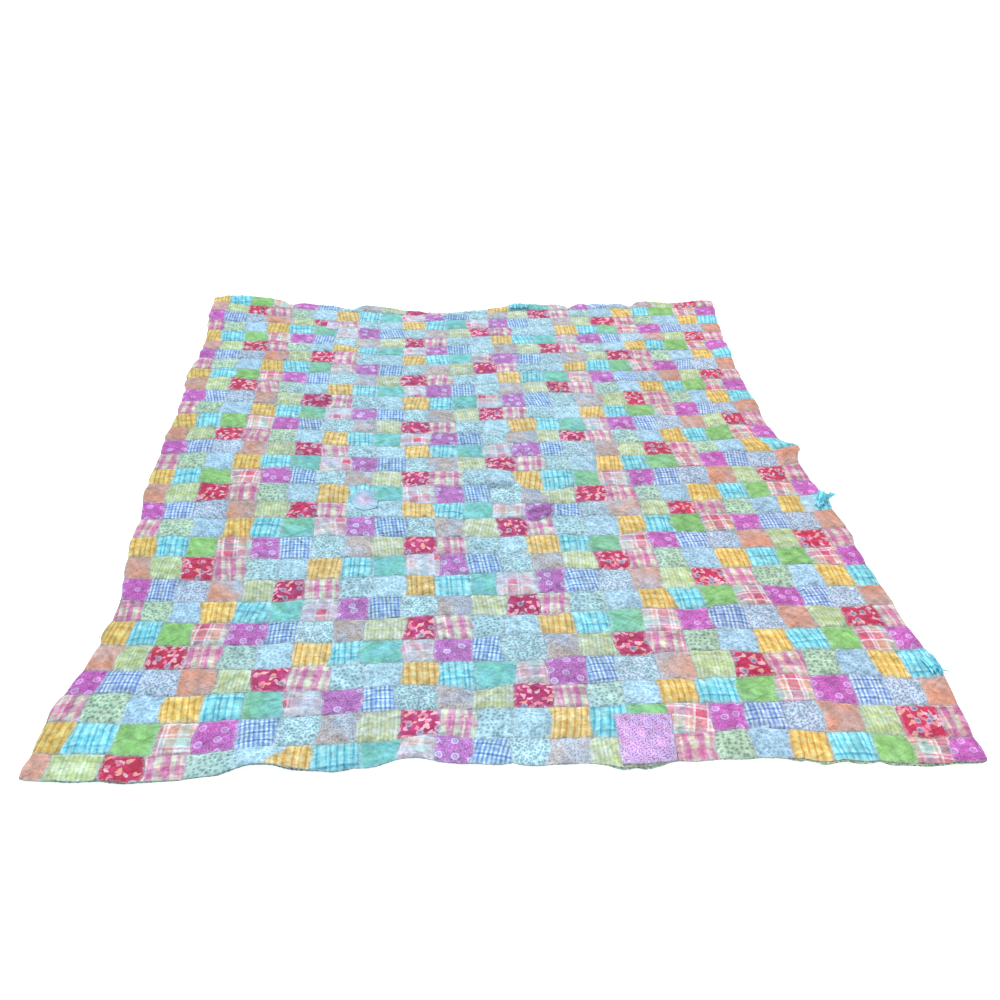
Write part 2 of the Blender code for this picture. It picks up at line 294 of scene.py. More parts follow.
# %% [markdown]
# ## The seams
#
# Squares are sewn into rows, and then the rows are sewn to each other. So a row seam runs right across
# the quilt and wanders a little, while the seams between squares belong to one row: each row starts a bit
# to the left or right of the last, and each seam leans and bows in its own way. They could be drawn as
# curves, but there are over seven hundred, so both kinds are short formulas on tables of random numbers
# with a fixed seed. Only the seams that plainly lie out of line are pulled one by one.

# %% How far the seams wander, in metres
ROW_WANDER = 0.0062
ROW_RIPPLE = 0.0017
ROW_SHIFT = 0.0040
SEAM_JITTER = 0.0036
SEAM_LEAN = 0.0048
SEAM_BOW = 0.0036
SEAM_RIPPLE = 0.0015
EDGE_SCALLOP = 0.0050
EDGE_WANDER = 0.0036
CORNER = 0.009                # the radius of the sheet's worn corners
EDGE_CELLS = (0.10, 0.03)     # the outer edges' slow and quick drift

# The unevenness of a row seam: its cell, the step in the table from one seam to the next, its seed and
# strength.
ROW_UNEVENNESS = (
    (0.13, 1.7, 13, ROW_WANDER),
    (0.045, 2.3, 14, 0.5 * ROW_WANDER),
    (0.013, 3.1, 17, ROW_RIPPLE),
)

draws = np.random.default_rng(24)
row_shift = draws.normal(0, ROW_SHIFT, ROWS)
seam_jitter = draws.normal(0, SEAM_JITTER, (ROWS, COLUMNS + 1)) + row_shift[:, None]
seam_lean = draws.normal(0, SEAM_LEAN, (ROWS, COLUMNS + 1))
seam_bow = draws.normal(0, SEAM_BOW, (ROWS, COLUMNS + 1))
plumpness = draws.uniform(0.75, 1.25, (ROWS, COLUMNS))

# Whole rows that sit to the right of their places, or with a minus to the left, in millimetres.
ROW_PUSHES = {7: 8, 9: 6, 10: 6, 14: -8, 19: -6, 21: -6, 23: -9, 24: -7, 25: -11}
for row, push in ROW_PUSHES.items():
    seam_jitter[row] += push * MILLIMETRE

# Seams between squares that were sewn well out of line. For each row, and each of its seams counted from
# the left edge, it is how far the near and the far end are pulled to the right, in millimetres.
PULLS = {
    0: {1: (-26, -34), 2: (-19, -18), 3: (-12, -14), 4: (-15, -13), 6: (-30, 6), 7: (-20, -13), 9: (-6, -7),
        10: (-4, -4), 11: (-14, -13), 12: (-5, -5), 13: (-17, -12), 14: (-8, -9), 15: (58, 58), 17: (9, 7),
        18: (-18, -11), 19: (-27, -19), 20: (-17, -16), 21: (-6, -6), 22: (-10, -8), 23: (0, 12)},
    1: {1: (-19, -8), 2: (4, -2), 4: (-8, 0), 5: (-5, -3), 6: (-9, -2), 7: (-15, -9), 8: (-5, 0),
        10: (-3, -6), 11: (-6, -3), 12: (-4, -4), 13: (-11, -11), 15: (-10, -10), 16: (-8, -9), 18: (3, 0),
        19: (5, -5), 20: (-8, -7), 21: (-8, -14), 22: (4, -5), 23: (14, 14)},
    2: {1: (5, -5), 4: (-9, -8), 5: (4, 5), 12: (7, 4), 13: (7, 8), 14: (3, 9), 15: (0, -6), 16: (-4, -10),
        17: (-9, -8), 18: (6, 8), 19: (-4, 6), 20: (6, 3), 21: (8, 10), 22: (8, 5), 23: (8, 6)},
    12: {13: (0, 6), 14: (-6, -24)},
    13: {13: (4, -6), 14: (-10, -4)},
}

# Places where one of the seams between rows is pulled: where along it, over what reach, and how far.
Pull = namedtuple("Pull", "line at reach shift")
ROW_PULLS = (
    Pull(0, -0.395, 0.018, 0.008),
    Pull(0, -0.070, 0.085, 0.007),
    Pull(0, 0.120, 0.060, 0.005),
    Pull(0, 0.215, 0.040, -0.003),
    Pull(1, -0.510, 0.100, -0.006),
    Pull(1, -0.147, 0.075, 0.014),
    Pull(1, 0.478, 0.120, 0.011),
    Pull(2, -0.040, 0.270, 0.014),
    Pull(2, 0.550, 0.150, 0.006),
    Pull(3, -0.257, 0.090, 0.009),
    Pull(3, -0.074, 0.060, -0.016),
    Pull(3, 0.780, 0.060, -0.015),
    Pull(11, 0.100, 0.028, -0.021),
    Pull(11, 0.138, 0.020, -0.008),
    Pull(12, 0.030, 0.050, -0.006),
    Pull(12, 0.125, 0.070, -0.042),
    Pull(13, 0.085, 0.090, -0.028),
    Pull(13, 0.160, 0.040, -0.008),
    Pull(29, -0.720, 0.160, -0.026),
    Pull(ROWS, -0.603, 0.018, -0.022),
    Pull(ROWS, -0.405, 0.030, -0.022),
    Pull(ROWS, 0.366, 0.024, -0.028),
    Pull(ROWS, 0.583, 0.020, -0.022),
)

# Some neighbouring row seams sway together: the first and last of them, where, the reach, and how far.
Sway = namedtuple("Sway", "first last at reach shift")
SWAYS = (
    Sway(4, 8, -0.60, 0.25, -0.008),
    Sway(4, 9, 0.30, 0.30, 0.010),
    Sway(10, 15, -0.58, 0.30, 0.012),
    Sway(12, 19, 0.48, 0.25, -0.011),
    Sway(16, 19, -0.15, 0.15, -0.008),
    Sway(20, 22, 0.15, 0.15, 0.016),
    Sway(21, 23, -0.75, 0.15, 0.013),
    Sway(25, 26, -0.35, 0.25, -0.019),
    Sway(28, 28, -0.55, 0.25, -0.018),
    Sway(28, 28, 0.00, 0.12, 0.014),
)

# The same for the two side edges, which are the first and the last line, and are pulled across.
EDGE_PULLS = (
    Pull(0, 0.18, 0.10, -0.011),
    Pull(0, 0.40, 0.07, -0.009),
    Pull(0, 0.83, 0.08, 0.010),
    Pull(0, 1.57, 0.10, -0.012),
    Pull(COLUMNS, 0.385, 0.05, -0.007),
    Pull(COLUMNS, 0.73, 0.05, 0.012),
    Pull(COLUMNS, 0.90, 0.03, -0.003),
    Pull(COLUMNS, 1.06, 0.03, -0.010),
    Pull(COLUMNS, 1.42, 0.14, 0.013),
)


def pulled(pulls, place):
    """How far some pulls move a line at each place along it."""
    return sum(pull.shift * np.exp(-((place - pull.at) / pull.reach) ** 2) for pull in pulls)


def edge_wave(place, seed):
    """How far an outer edge is out of its straight line: a shallow scallop at each square and a drift."""
    slow_cell, quick_cell = EDGE_CELLS
    strength = 0.6 + 0.6 * unevenness(place / PATCH, 0 * place, seed + 20)
    scallop = EDGE_SCALLOP * strength * (np.abs(np.sin(pi * place / PATCH)) - 0.6)
    drift = unevenness(place / slow_cell, 0 * place, seed)
    drift = drift + 0.4 * unevenness(place / quick_cell, 0 * place, seed + 40)
    return scallop + EDGE_WANDER * drift


def rounded_corners(across, along):
    """Places on the flat sheet with its four corners worn round."""
    for side, side_way in ((LEFT, -1), (RIGHT, 1)):
        for end, end_way in ((NEAR, -1), (FAR, 1)):
            a = np.clip((across - side) * side_way / CORNER + 1, 0, 1)
            b = np.clip((along - end) * end_way / CORNER + 1, 0, 1)
            across = across - side_way * CORNER * a * (1 - np.sqrt(1 - b ** 2 / 2))
            along = along - end_way * CORNER * b * (1 - np.sqrt(1 - a ** 2 / 2))
    return across, along


def row_seam(line, across):
    """How far along the sheet a row seam lies, and the near and far edges as its first and last lines."""
    pull = pulled([pull for pull in ROW_PULLS if pull.line == line], across)
    pull += pulled([sway for sway in SWAYS if sway.first <= line <= sway.last], across)
    if line == 0:
        return NEAR - edge_wave(across, 11) + pull
    if line == ROWS:
        return FAR + edge_wave(across, 12) + pull
    wander = sum(strength * unevenness(across / cell, 0 * across + step * line, seed)
                 for cell, step, seed, strength in ROW_UNEVENNESS)
    return line * PATCH + wander + pull


def side_edge(line, along):
    """How far across the sheet its left edge, the first line, or its right edge, the last line, lies."""
    pull = pulled([pull for pull in EDGE_PULLS if pull.line == line], along)
    if line == 0:
        return LEFT - edge_wave(along, 15) + pull
    return RIGHT + edge_wave(along, 16) + pull


def square_seam(row, line, share, along):
    """How far across the sheet a seam between squares lies, share of the way along its row."""
    if line in (0, COLUMNS):
        return side_edge(line, along)
    lean = seam_lean[row, line] * (share - 0.5)
    bow = seam_bow[row, line] * np.sin(pi * share)
    ripple = SEAM_RIPPLE * unevenness(share * 5.0 + 1.9 * line, 0 * share + 2.7 * row, 18)
    near, far = PULLS.get(row, {}).get(line, (0, 0))
    pull = MILLIMETRE * (near + (far - near) * share)
    return (line - COLUMNS / 2) * PATCH + seam_jitter[row, line] + lean + bow + ripple + pull


print(ROWS + 1, "row seams and", ROWS * (COLUMNS + 1), "seams between squares")

# %% [markdown]
# ## The puffed squares
#
# Between its seams each square puffs up over the wadding. Along a seam the thread holds more cloth than
# its length needs, so small gathers run out from it on both sides, and a washed square also has a few
# slanting wrinkles. A displacement modifier could raise these, but here the height is a sum of three
# plain formulas, so that each can be as strong as on the real cloth.

# %% Heights on a square
SEAM_HEIGHT = 0.0024         # above the sheet's underside, at a seam
PUFF = 0.0040                # how much higher the middle of a square stands
PUFF_POWER = 4.0             # how steeply it rises from its seams
GATHER = 0.0020
GATHER_CELL = 0.0078
GATHER_REACH = 0.15          # of a square
SIDE_GATHER = 0.8            # how much weaker the gathers are along the seams between squares
WRINKLE = 0.0024
WRINKLE_LONG, WRINKLE_WIDE = 0.040, 0.0085
WRINKLE_WAYS = ((38, 31), (-42, 33), (82, 35))    # each set of wrinkles: its way in degrees, and its seed
WRINKLED_PLACES = 0.09       # metres, how large the places with and without wrinkles are
HELD = 0.05                  # of a square: the cloth is held down this near a seam


def gathers(along_seam, line, from_seam, seed):
    """Small folds that run out from a seam and fade."""
    ripple = unevenness(along_seam / GATHER_CELL, 0 * along_seam + 5.37 * line, seed)
    held = np.clip(from_seam / HELD, 0, 1)
    return GATHER * ripple * held * np.exp(-from_seam / GATHER_REACH)


def wrinkles(across, along, degrees, seed):
    """Long thin ridges that slant across the cloth, strong in some places and absent in others."""
    turn = radians(degrees)
    long_way = (across * cos(turn) + along * sin(turn)) / WRINKLE_LONG
    short_way = (along * cos(turn) - across * sin(turn)) / WRINKLE_WIDE
    crest = 1 - np.abs(unevenness(long_way, short_way, seed))
    strength = unevenness(across / WRINKLED_PLACES, along / WRINKLED_PLACES, seed + 1)
    strength = np.clip(0.35 + 0.9 * strength, 0, 1)
    return WRINKLE * (crest ** 3 - 0.35) * strength


def square_height(row, column, u, v, across, along):
    """The height of the top above the sheet's underside. u and v run from 0 to 1 over a square."""
    from_side = np.minimum(u, 1 - u)
    from_row = np.minimum(v, 1 - v)
    swell = (1 - np.abs(2 * u - 1) ** PUFF_POWER) * (1 - np.abs(2 * v - 1) ** PUFF_POWER)
    height = SEAM_HEIGHT + PUFF * swell * plumpness[row, column]
    height += gathers(across, row + (v > 0.5), from_row, 21) * np.clip(from_side / HELD, 0, 1)
    side_line = column + (u > 0.5) + 31 * row
    height += SIDE_GATHER * gathers(along, side_line, from_side, 22) * np.clip(from_row / HELD, 0, 1)
    held = np.clip(from_side / HELD, 0, 1) * np.clip(from_row / HELD, 0, 1)
    for degrees, seed in WRINKLE_WAYS:
        height += held * wrinkles(across, along, degrees, seed)
    return height


print("squares puff up", PUFF * 1000, "mm over their seams")

# %% [markdown]
# ## Cloth finishes
#
# Every print is made from nodes on two maps that each piece of cloth carries. The map "print" runs with
# the threads, one unit to a square, and is turned and shifted for each square, as when squares are cut
# from a bolt. The map "square" counts the squares, and its fraction runs from seam to seam. A few helpers
# add nodes, and then each fabric is a short recipe.


# %% Helpers that add nodes
NOISE_SPAN = (0.3, 0.7)       # most of a noise's values lie between these


def dye(red, green, blue):
    """A colour given from 0 to 255 as seen, made linear for a shader."""
    seen = np.array((red, green, blue)) / 255
    linear = np.where(seen <= 0.04045, seen / 12.92, ((seen + 0.055) / 1.055) ** 2.4)
    return (*[float(part) for part in linear], 1.0)


def put(tree, kind, inputs, output=0, **settings):
    """Add a node, link or set its inputs, and return one of its outputs."""
    added = tree.nodes.new("ShaderNode" + kind)
    for name, value in settings.items():
        setattr(added, name, value)
    for name, value in inputs.items():
        if isinstance(value, bpy.types.NodeSocket):
            tree.links.new(value, added.inputs[name])
        else:
            added.inputs[name].default_value = value
    return added.outputs[output]


def sum_of(tree, operation, first, second=0.0, third=0.0):
    """What a Math node makes of up to three numbers."""
    return put(tree, "Math", {0: first, 1: second, 2: third}, operation=operation)


def product(tree, first, *others):
    """Some numbers, multiplied."""
    for other in others:
        first = sum_of(tree, "MULTIPLY", first, other)
    return first


def stretched(tree, value, low, high, to_low=0.0, to_high=1.0, way="LINEAR"):
    """A number moved from one range into another, and held at its ends."""
    return put(tree, "MapRange", {0: value, 1: low, 2: high, 3: to_low, 4: to_high}, interpolation_type=way)


def blended(tree, share, first, second, way="MIX"):
    """Two colours, blended."""
    return put(tree, "Mix", {0: share, 6: first, 7: second}, output=2, data_type="RGBA", blend_type=way)


def ramp(tree, value, stops, way="LINEAR"):
    """A number turned into colours, or into shares where a stop holds one number."""
    added = tree.nodes.new("ShaderNodeValToRGB")
    added.color_ramp.interpolation = way
    elements = added.color_ramp.elements
    elements.remove(elements[1])
    for place, (position, tone) in enumerate(stops):
        element = elements[0] if place == 0 else elements.new(position)
        element.position = position
        element.color = tone if isinstance(tone, tuple) else (tone, tone, tone, 1.0)
    tree.links.new(value, added.inputs["Fac"])
    return added.outputs["Color"]


def repeats(tree, place, count, start=0.0):
    """A place counted in repeats of a pattern, from 0 to 1 in each."""
    return sum_of(tree, "FRACT", sum_of(tree, "MULTIPLY_ADD", place, count, start))


def split(tree, place):
    """The first two numbers of a place or a colour."""
    first = put(tree, "SeparateXYZ", {0: place})
    return first, first.node.outputs[1]


def slanted(tree, place, stretch, turn):
    """A map turned by some degrees and squeezed each way, so that a pattern on it is drawn out aslant."""
    return put(tree, "Mapping", {"Vector": place, "Scale": (1 / stretch[0], 1 / stretch[1], 1.0),
                                 "Rotation": (0, 0, radians(turn))}, vector_type="TEXTURE")


def noise(tree, place, scale, detail=2.0, stretch=(1.0, 1.0), turn=0.0):
    """Cloudy unevenness on a map, which may be drawn out along a slant."""
    vector = slanted(tree, place, stretch, turn)
    return put(tree, "TexNoise", {"Vector": vector, "Scale": scale, "Detail": detail},
               noise_dimensions="2D")


def swung(tree, value, least, most):
    """A noise, moved so that its usual values run from the least to the most."""
    return stretched(tree, value, *NOISE_SPAN, least, most)


def spots(tree, place, scale, randomness=1.0, stretch=(1.0, 1.0), turn=0.0):
    """Scattered spots: how far each place is from the nearest one, and that spot's own random colour."""
    vector = slanted(tree, place, stretch, turn)
    far = put(tree, "TexVoronoi", {"Vector": vector, "Scale": scale, "Randomness": randomness},
              voronoi_dimensions="2D")
    return far, far.node.outputs["Color"]


def disc(tree, far, inner, outer):
    """1 inside a spot and 0 outside it, with an edge that runs from the inner to the outer distance."""
    return ramp(tree, far, ((inner, 1.0), (outer, 0.0)))


def either(tree, chance, first, second, share=0.5):
    """One of two tints for each spot: the first for a share of them."""
    return ramp(tree, split(tree, chance)[0], ((0.0, first), (share, second)), "CONSTANT")


def some(tree, chance, share, part=0):
    """1 for a share of the spots, and 0 for the rest, which are left out."""
    return ramp(tree, split(tree, chance)[part], ((0.0, 1.0), (share, 0.0)), "CONSTANT")


# %% [markdown]
# ## What all the cloth has in common
#
# The sun and the wash have faded the middle of the quilt to cooler colours, and each fabric has shifted
# by its own amount. The far end has bleached lighter, and the near end a little too. A cast of cooler
# light on the left side is painted into the colours. Every square also differs a touch from its fellows,
# and the thread streaks show, while coarser streaks paint the light and shade of the crinkles' crests
# and hollows. Painted shade darkens the seam troughs into thin dark lines, weaker in places, and the dye
# is rubbed off beside them. Crinkles run out from the seams, and creases slant over the squares, finer
# than the mesh can carry, so a bump map adds them, and painted shade darkens those creases. One function
# gives all of this to any print.

# %% Finish a cloth
FADED_FROM, FADED_TO = -0.38, 0.08       # metres across: the faded middle, and how soon it ends each side
FADE_WIDTH_LEFT, FADE_WIDTH_RIGHT = 0.30, 0.50
FADE_CLOUD = 0.10                        # how far its limits wander
FADE_SLANT = 0.12                        # how far the right limit moves right, for a metre along
BLEACHED_FROM, BLEACHED_TO = 0.3, 1.1    # metres along: where the far end gets lighter, and is most so
BLEACHED = 1.07                          # how much lighter it is there
NEAR_FROM, NEAR_TO, NEAR_BLEACHED = -0.80, -1.05, 1.05      # the same for the near end
# Painted light: a cast of cooler light on the left side, multiplied into the colours.
COOLED_FROM, COOLED_TO = -0.35, -0.75    # metres across, towards the left side
COOLED = (0.90, 0.98, 1.01, 1.0)         # what its colours are multiplied by there

# How light the painted shade in the seam troughs leaves the cloth at some distances from a row seam and
# from a square seam, and how far its rims have lost their dye, with the distances in squares. Then how
# strongly gathers show at some distances from each seam.
ROW_SEAM_SHADE = ((0.0, 0.50), (0.02, 0.74), (0.045, 0.92), (0.13, 1.0))
SIDE_SEAM_SHADE = ((0.0, 0.74), (0.02, 0.88), (0.045, 0.96), (0.13, 1.0))
RUBBED_RIM = ((0.0, 0.32), (0.03, 0.28), (0.07, 0.03))
SEAM_JAG, RIM_JAG = (-0.020, 0.026), (-0.045, 0.045)    # how far their limits jag in and out, in squares
SEAM_SHADE_LEAST = 0.25                         # how much of the seams' painted shade is left where a noise weakens it most
ROW_GATHERS = ((0.0, 1.0), (0.10, 0.6), (0.32, 0.0))
SIDE_GATHERS = ((0.0, 1.0), (0.10, 0.5), (0.26, 0.0))
SLANTS = (35, -50)                       # degrees, the ways the slanting folds run
CRINKLE_SCALE = 150.0
FOLD_HEIGHT, CRINKLE_HEIGHT = 0.6, 0.7   # how high the slanting folds and fine crinkles are beside gathers
BUMP_DEPTH = 0.0032
BEND, BEND_SCALE = 0.045, 6.0            # how far prints are out of line, and how often, in squares
# Streaks of light and dark: how many to a square, their stretch and turn, and the least and most tone.
# The fine ones are threads, and the coarser ones are painted light and shade on the crests and hollows
# of crinkles and puffs.
STREAKS = (
    (95.0, (1.0, 0.06), 0, 0.94, 1.06),
    (95.0, (0.06, 1.0), 0, 0.94, 1.06),
    (20.0, (1.0, 0.30), 12, 0.94, 1.06),
    (20.0, (0.30, 1.0), 10, 0.94, 1.06),
    (4.0, (1.0, 0.45), 25, 0.85, 1.13),
    (7.0, (0.35, 1.0), -20, 0.90, 1.10),
)
SQUARE_TONES = (0.91, 1.06)              # the darkest and the lightest square
# Painted shade: the creases of the slanting folds are darkened in colour.
FOLD_SHADE = 0.15                        # how much darker the slanting folds are
ROUGHNESS, SHEEN = 0.93, 0.12
RUBBED = dye(214, 230, 240)
NO_SHIFT = (1.0, 1.0, 1.0, 1.0)


def shift(fresh, faded):
    """What a fresh colour is multiplied by to fade it, both given as seen."""
    return (*[to / start for start, to in zip(dye(*fresh)[:3], dye(*faded)[:3])], 1.0)


def new_cloth(name):
    """A new material, and its two maps as sockets: the print's place, and the square's."""
    cloth = bpy.data.materials.new(name)
    cloth.use_nodes = True
    tree = cloth.node_tree
    flat = put(tree, "UVMap", {}, uv_map="print")
    squared = put(tree, "UVMap", {}, uv_map="square")
    pull = put(tree, "TexNoise", {"Vector": flat, "Scale": BEND_SCALE, "Detail": 3.0}, output=1,
               noise_dimensions="2D")
    printed = put(tree, "VectorMath", {0: pull, 1: (BEND, BEND, 0.0), 2: flat}, operation="MULTIPLY_ADD")
    return cloth, tree, printed, squared


def quilt_place(tree):
    """Where on the whole quilt a place is, in metres."""
    return put(tree, "TexCoord", {}, output=3)


def faded_share(tree):
    """1 in the faded middle of the quilt and 0 towards its sides, with a cloudy limit."""
    place = quilt_place(tree)
    across, along = split(tree, place)
    cloud = put(tree, "TexNoise", {"Vector": place, "Scale": 5.0, "Detail": 2.0})
    across = sum_of(tree, "ADD", across, swung(tree, cloud, -FADE_CLOUD, FADE_CLOUD))
    slanted_across = sum_of(tree, "MULTIPLY_ADD", along, -FADE_SLANT, across)
    left = stretched(tree, across, FADED_FROM - FADE_WIDTH_LEFT, FADED_FROM, way="SMOOTHSTEP")
    right = stretched(tree, slanted_across, FADED_TO, FADED_TO + FADE_WIDTH_RIGHT, 1.0, 0.0, "SMOOTHSTEP")
    return product(tree, left, right)


def bleached(tree):
    """How much lighter the cloth is towards the far end, and a little towards the near one."""
    along = split(tree, quilt_place(tree))[1]
    far_end = stretched(tree, along, BLEACHED_FROM, BLEACHED_TO, 1.0, BLEACHED, "SMOOTHSTEP")
    near_end = stretched(tree, along, NEAR_FROM, NEAR_TO, 1.0, NEAR_BLEACHED, "SMOOTHSTEP")
    return product(tree, far_end, near_end)


def cooled(tree, colour):
    """A colour with a painted cast of cooler light towards the left side."""
    across, _ = split(tree, quilt_place(tree))
    share = stretched(tree, across, COOLED_FROM, COOLED_TO, way="SMOOTHSTEP")
    return blended(tree, share, colour, COOLED, "MULTIPLY")


def from_seams(tree, squared):
    """How far a place is from the nearest square seam, and from the nearest row seam."""
    ways = split(tree, put(tree, "VectorMath", {0: squared}, operation="FRACTION"))
    return [sum_of(tree, "MINIMUM", way, sum_of(tree, "SUBTRACT", 1.0, way)) for way in ways]


def seam_shade(tree, printed, from_side, from_row):
    """Painted shade in the seam troughs: how light the cloth is near its seams, 1 away from them. The row
    seams get the darker shade.
    """
    jag = swung(tree, noise(tree, printed, 15.0, 3.0), *SEAM_JAG)
    # Painted shade: a noise weakens the seam shade in places, and worn holds that strength.
    worn = stretched(tree, noise(tree, printed, 2.2, 1.0), 0.38, 0.62, SEAM_SHADE_LEAST, 1.0)
    row_line = ramp(tree, sum_of(tree, "ADD", from_row, jag), ROW_SEAM_SHADE)
    side_line = ramp(tree, sum_of(tree, "ADD", from_side, jag), SIDE_SEAM_SHADE)
    return blended(tree, worn, (1.0, 1.0, 1.0, 1.0), product(tree, row_line, side_line))


def worn_rims(tree, printed, from_side, from_row):
    """How far the dye has gone from the squares' rims, which stand up along the seams and get rubbed."""
    nearest = sum_of(tree, "MINIMUM", from_side, from_row)
    jag = swung(tree, noise(tree, printed, 24.0, 2.0), *RIM_JAG)
    return ramp(tree, sum_of(tree, "ADD", nearest, jag), RUBBED_RIM)


def crinkles(tree, printed, from_side, from_row, folded):
    """Heights for the bump map, of gathers at the seams and folds between them, and the folds alone."""
    row_folds = noise(tree, printed, 9.0, 1.0, (1.0, 0.13))
    side_folds = noise(tree, printed, 9.0, 1.0, (0.13, 1.0))
    height = product(tree, row_folds, ramp(tree, from_row, ROW_GATHERS))
    height = sum_of(tree, "MULTIPLY_ADD", side_folds, ramp(tree, from_side, SIDE_GATHERS), height)
    slants = [noise(tree, printed, 5.0, 2.0, (0.20, 1.0), turn) for turn in SLANTS]
    folds = ramp(tree, sum_of(tree, "MINIMUM", *slants), ((0.30, 0.0), (0.42, 0.75), (0.52, 1.0)))
    height = sum_of(tree, "MULTIPLY_ADD", folds, FOLD_HEIGHT * folded, height)
    fine = put(tree, "TexNoise", {"Vector": quilt_place(tree), "Scale": CRINKLE_SCALE, "Detail": 2.0,
                                  "Distortion": 0.4})
    return sum_of(tree, "MULTIPLY_ADD", fine, CRINKLE_HEIGHT, height), folds


def finish_cloth(cloth, printed, squared, colour, fading, folded=0.75):
    """Fade, streak and shade a print, and give it its crinkles.

    fading is what its fresh colours change by, and folded is how strong its slanting folds and their
    painted shade are.
    """
    tree = cloth.node_tree
    shader = tree.nodes["Principled BSDF"]
    from_side, from_row = from_seams(tree, squared)
    height, folds = crinkles(tree, printed, from_side, from_row, folded)
    if fading != NO_SHIFT:
        colour = blended(tree, faded_share(tree), colour, fading, "MULTIPLY")
    colour = cooled(tree, blended(tree, worn_rims(tree, printed, from_side, from_row), colour, RUBBED))
    counted = put(tree, "VectorMath", {0: squared}, operation="FLOOR")
    chance = put(tree, "TexWhiteNoise", {"Vector": counted}, noise_dimensions="2D")
    tone = stretched(tree, chance, 0.0, 1.0, *SQUARE_TONES)
    # The coarser streaks are painted light and shade on the crests and hollows of the crinkles.
    for scale, stretch, turn, least, most in STREAKS:
        streak = noise(tree, printed, scale, 1.0, stretch, turn)
        tone = product(tree, tone, swung(tree, streak, least, most))
    # Painted shade in the creases of the slanting folds, multiplied into the tone.
    painted_fold_shade = stretched(tree, folds, 0.0, 1.0, 1.0 - FOLD_SHADE * folded, 1.0)
    tone = product(tree, tone, bleached(tree), seam_shade(tree, printed, from_side, from_row), painted_fold_shade)
    colour = blended(tree, 1.0, colour, tone, "MULTIPLY")
    tree.links.new(colour, shader.inputs["Base Color"])
    shader.inputs["Roughness"].default_value = ROUGHNESS
    shader.inputs["Specular IOR Level"].default_value = 0.2
    shader.inputs["Sheen Weight"].default_value = SHEEN
    shader.inputs["Sheen Roughness"].default_value = 0.6
    bump = put(tree, "Bump", {"Strength": 1.0, "Distance": BUMP_DEPTH, "Height": height})
    tree.links.new(bump, shader.inputs["Normal"])
    return cloth


# %% [markdown]
# ## Woven plaids and stripes
#
# A plaid has its colour in the threads: bands of dyed threads run both ways. A band one way tints the
# ground, and where two bands cross the tint is doubled. An image could hold it, but nodes stay sharp
# close up and follow the weave. So each plaid is a ground and two lists of bands, the warp and the weft,
# each band given as its width and its tint, and the three are multiplied. Hand-loomed bands are uneven,
# so each is also a little stronger here and weaker there.

# %% Plaids
# A plaid: its name and ground, the bands of its warp and weft, how often each repeats to a square, how
# uneven the bands are, and how it fades.
Plaid = namedtuple("Plaid", "name ground warp weft warp_count weft_count uneven fading")
WHITE = (255, 255, 255)
BAND_SOFT = 0.016             # of the whole pattern, how softly each band begins and ends


def bands_of(tree, place, count, start, bands):
    """Bands of tint side by side, which repeat count times to a square."""
    total = sum(width for width, _ in bands)
    stops, at = [], 0.0
    for width, tint in bands:
        begin = at + (BAND_SOFT if at else 0.0)
        at += width / total
        stops += [(begin, dye(*tint)), (at - BAND_SOFT, dye(*tint))]
    return ramp(tree, repeats(tree, place, count, start), stops)


def plaid_cloth(plan):
    """A plaid from its ground and its two lists of bands."""
    cloth, tree, printed, squared = new_cloth(plan.name)
    across, along = split(tree, printed)
    colour = plan.ground
    for place, count, bands, stretch in ((across, plan.warp_count, plan.warp, (1.0, 0.25)),
                                         (along, plan.weft_count, plan.weft, (0.25, 1.0))):
        strength = noise(tree, printed, 8.0, 2.0, stretch)
        strength = swung(tree, strength, 1.0 - plan.uneven, 1.0 + plan.uneven)
        colour = blended(tree, strength, colour, bands_of(tree, place, count, 0.0, bands), "MULTIPLY")
    return finish_cloth(cloth, printed, squared, colour, plan.fading)


GOLD, CREAM, DEEP_GOLD, PALE_GOLD = (248, 226, 176), (254, 246, 222), (228, 188, 126), (250, 236, 206)
TEAL, PALE_TEAL, DEEP_TEAL = (186, 239, 249), (224, 251, 254), (128, 204, 228)
BLUE, PALE_BLUE, DEEP_BLUE = (206, 220, 247), (248, 252, 255), (148, 173, 227)
MOSS, PALE_MOSS, PEACH, PALE_PEACH = (206, 222, 168), (226, 236, 194), (238, 232, 182), (242, 244, 216)
PINK, ROSE, BLUSH, LEAF = (234, 150, 202), (240, 182, 208), (253, 234, 222), (222, 240, 230)

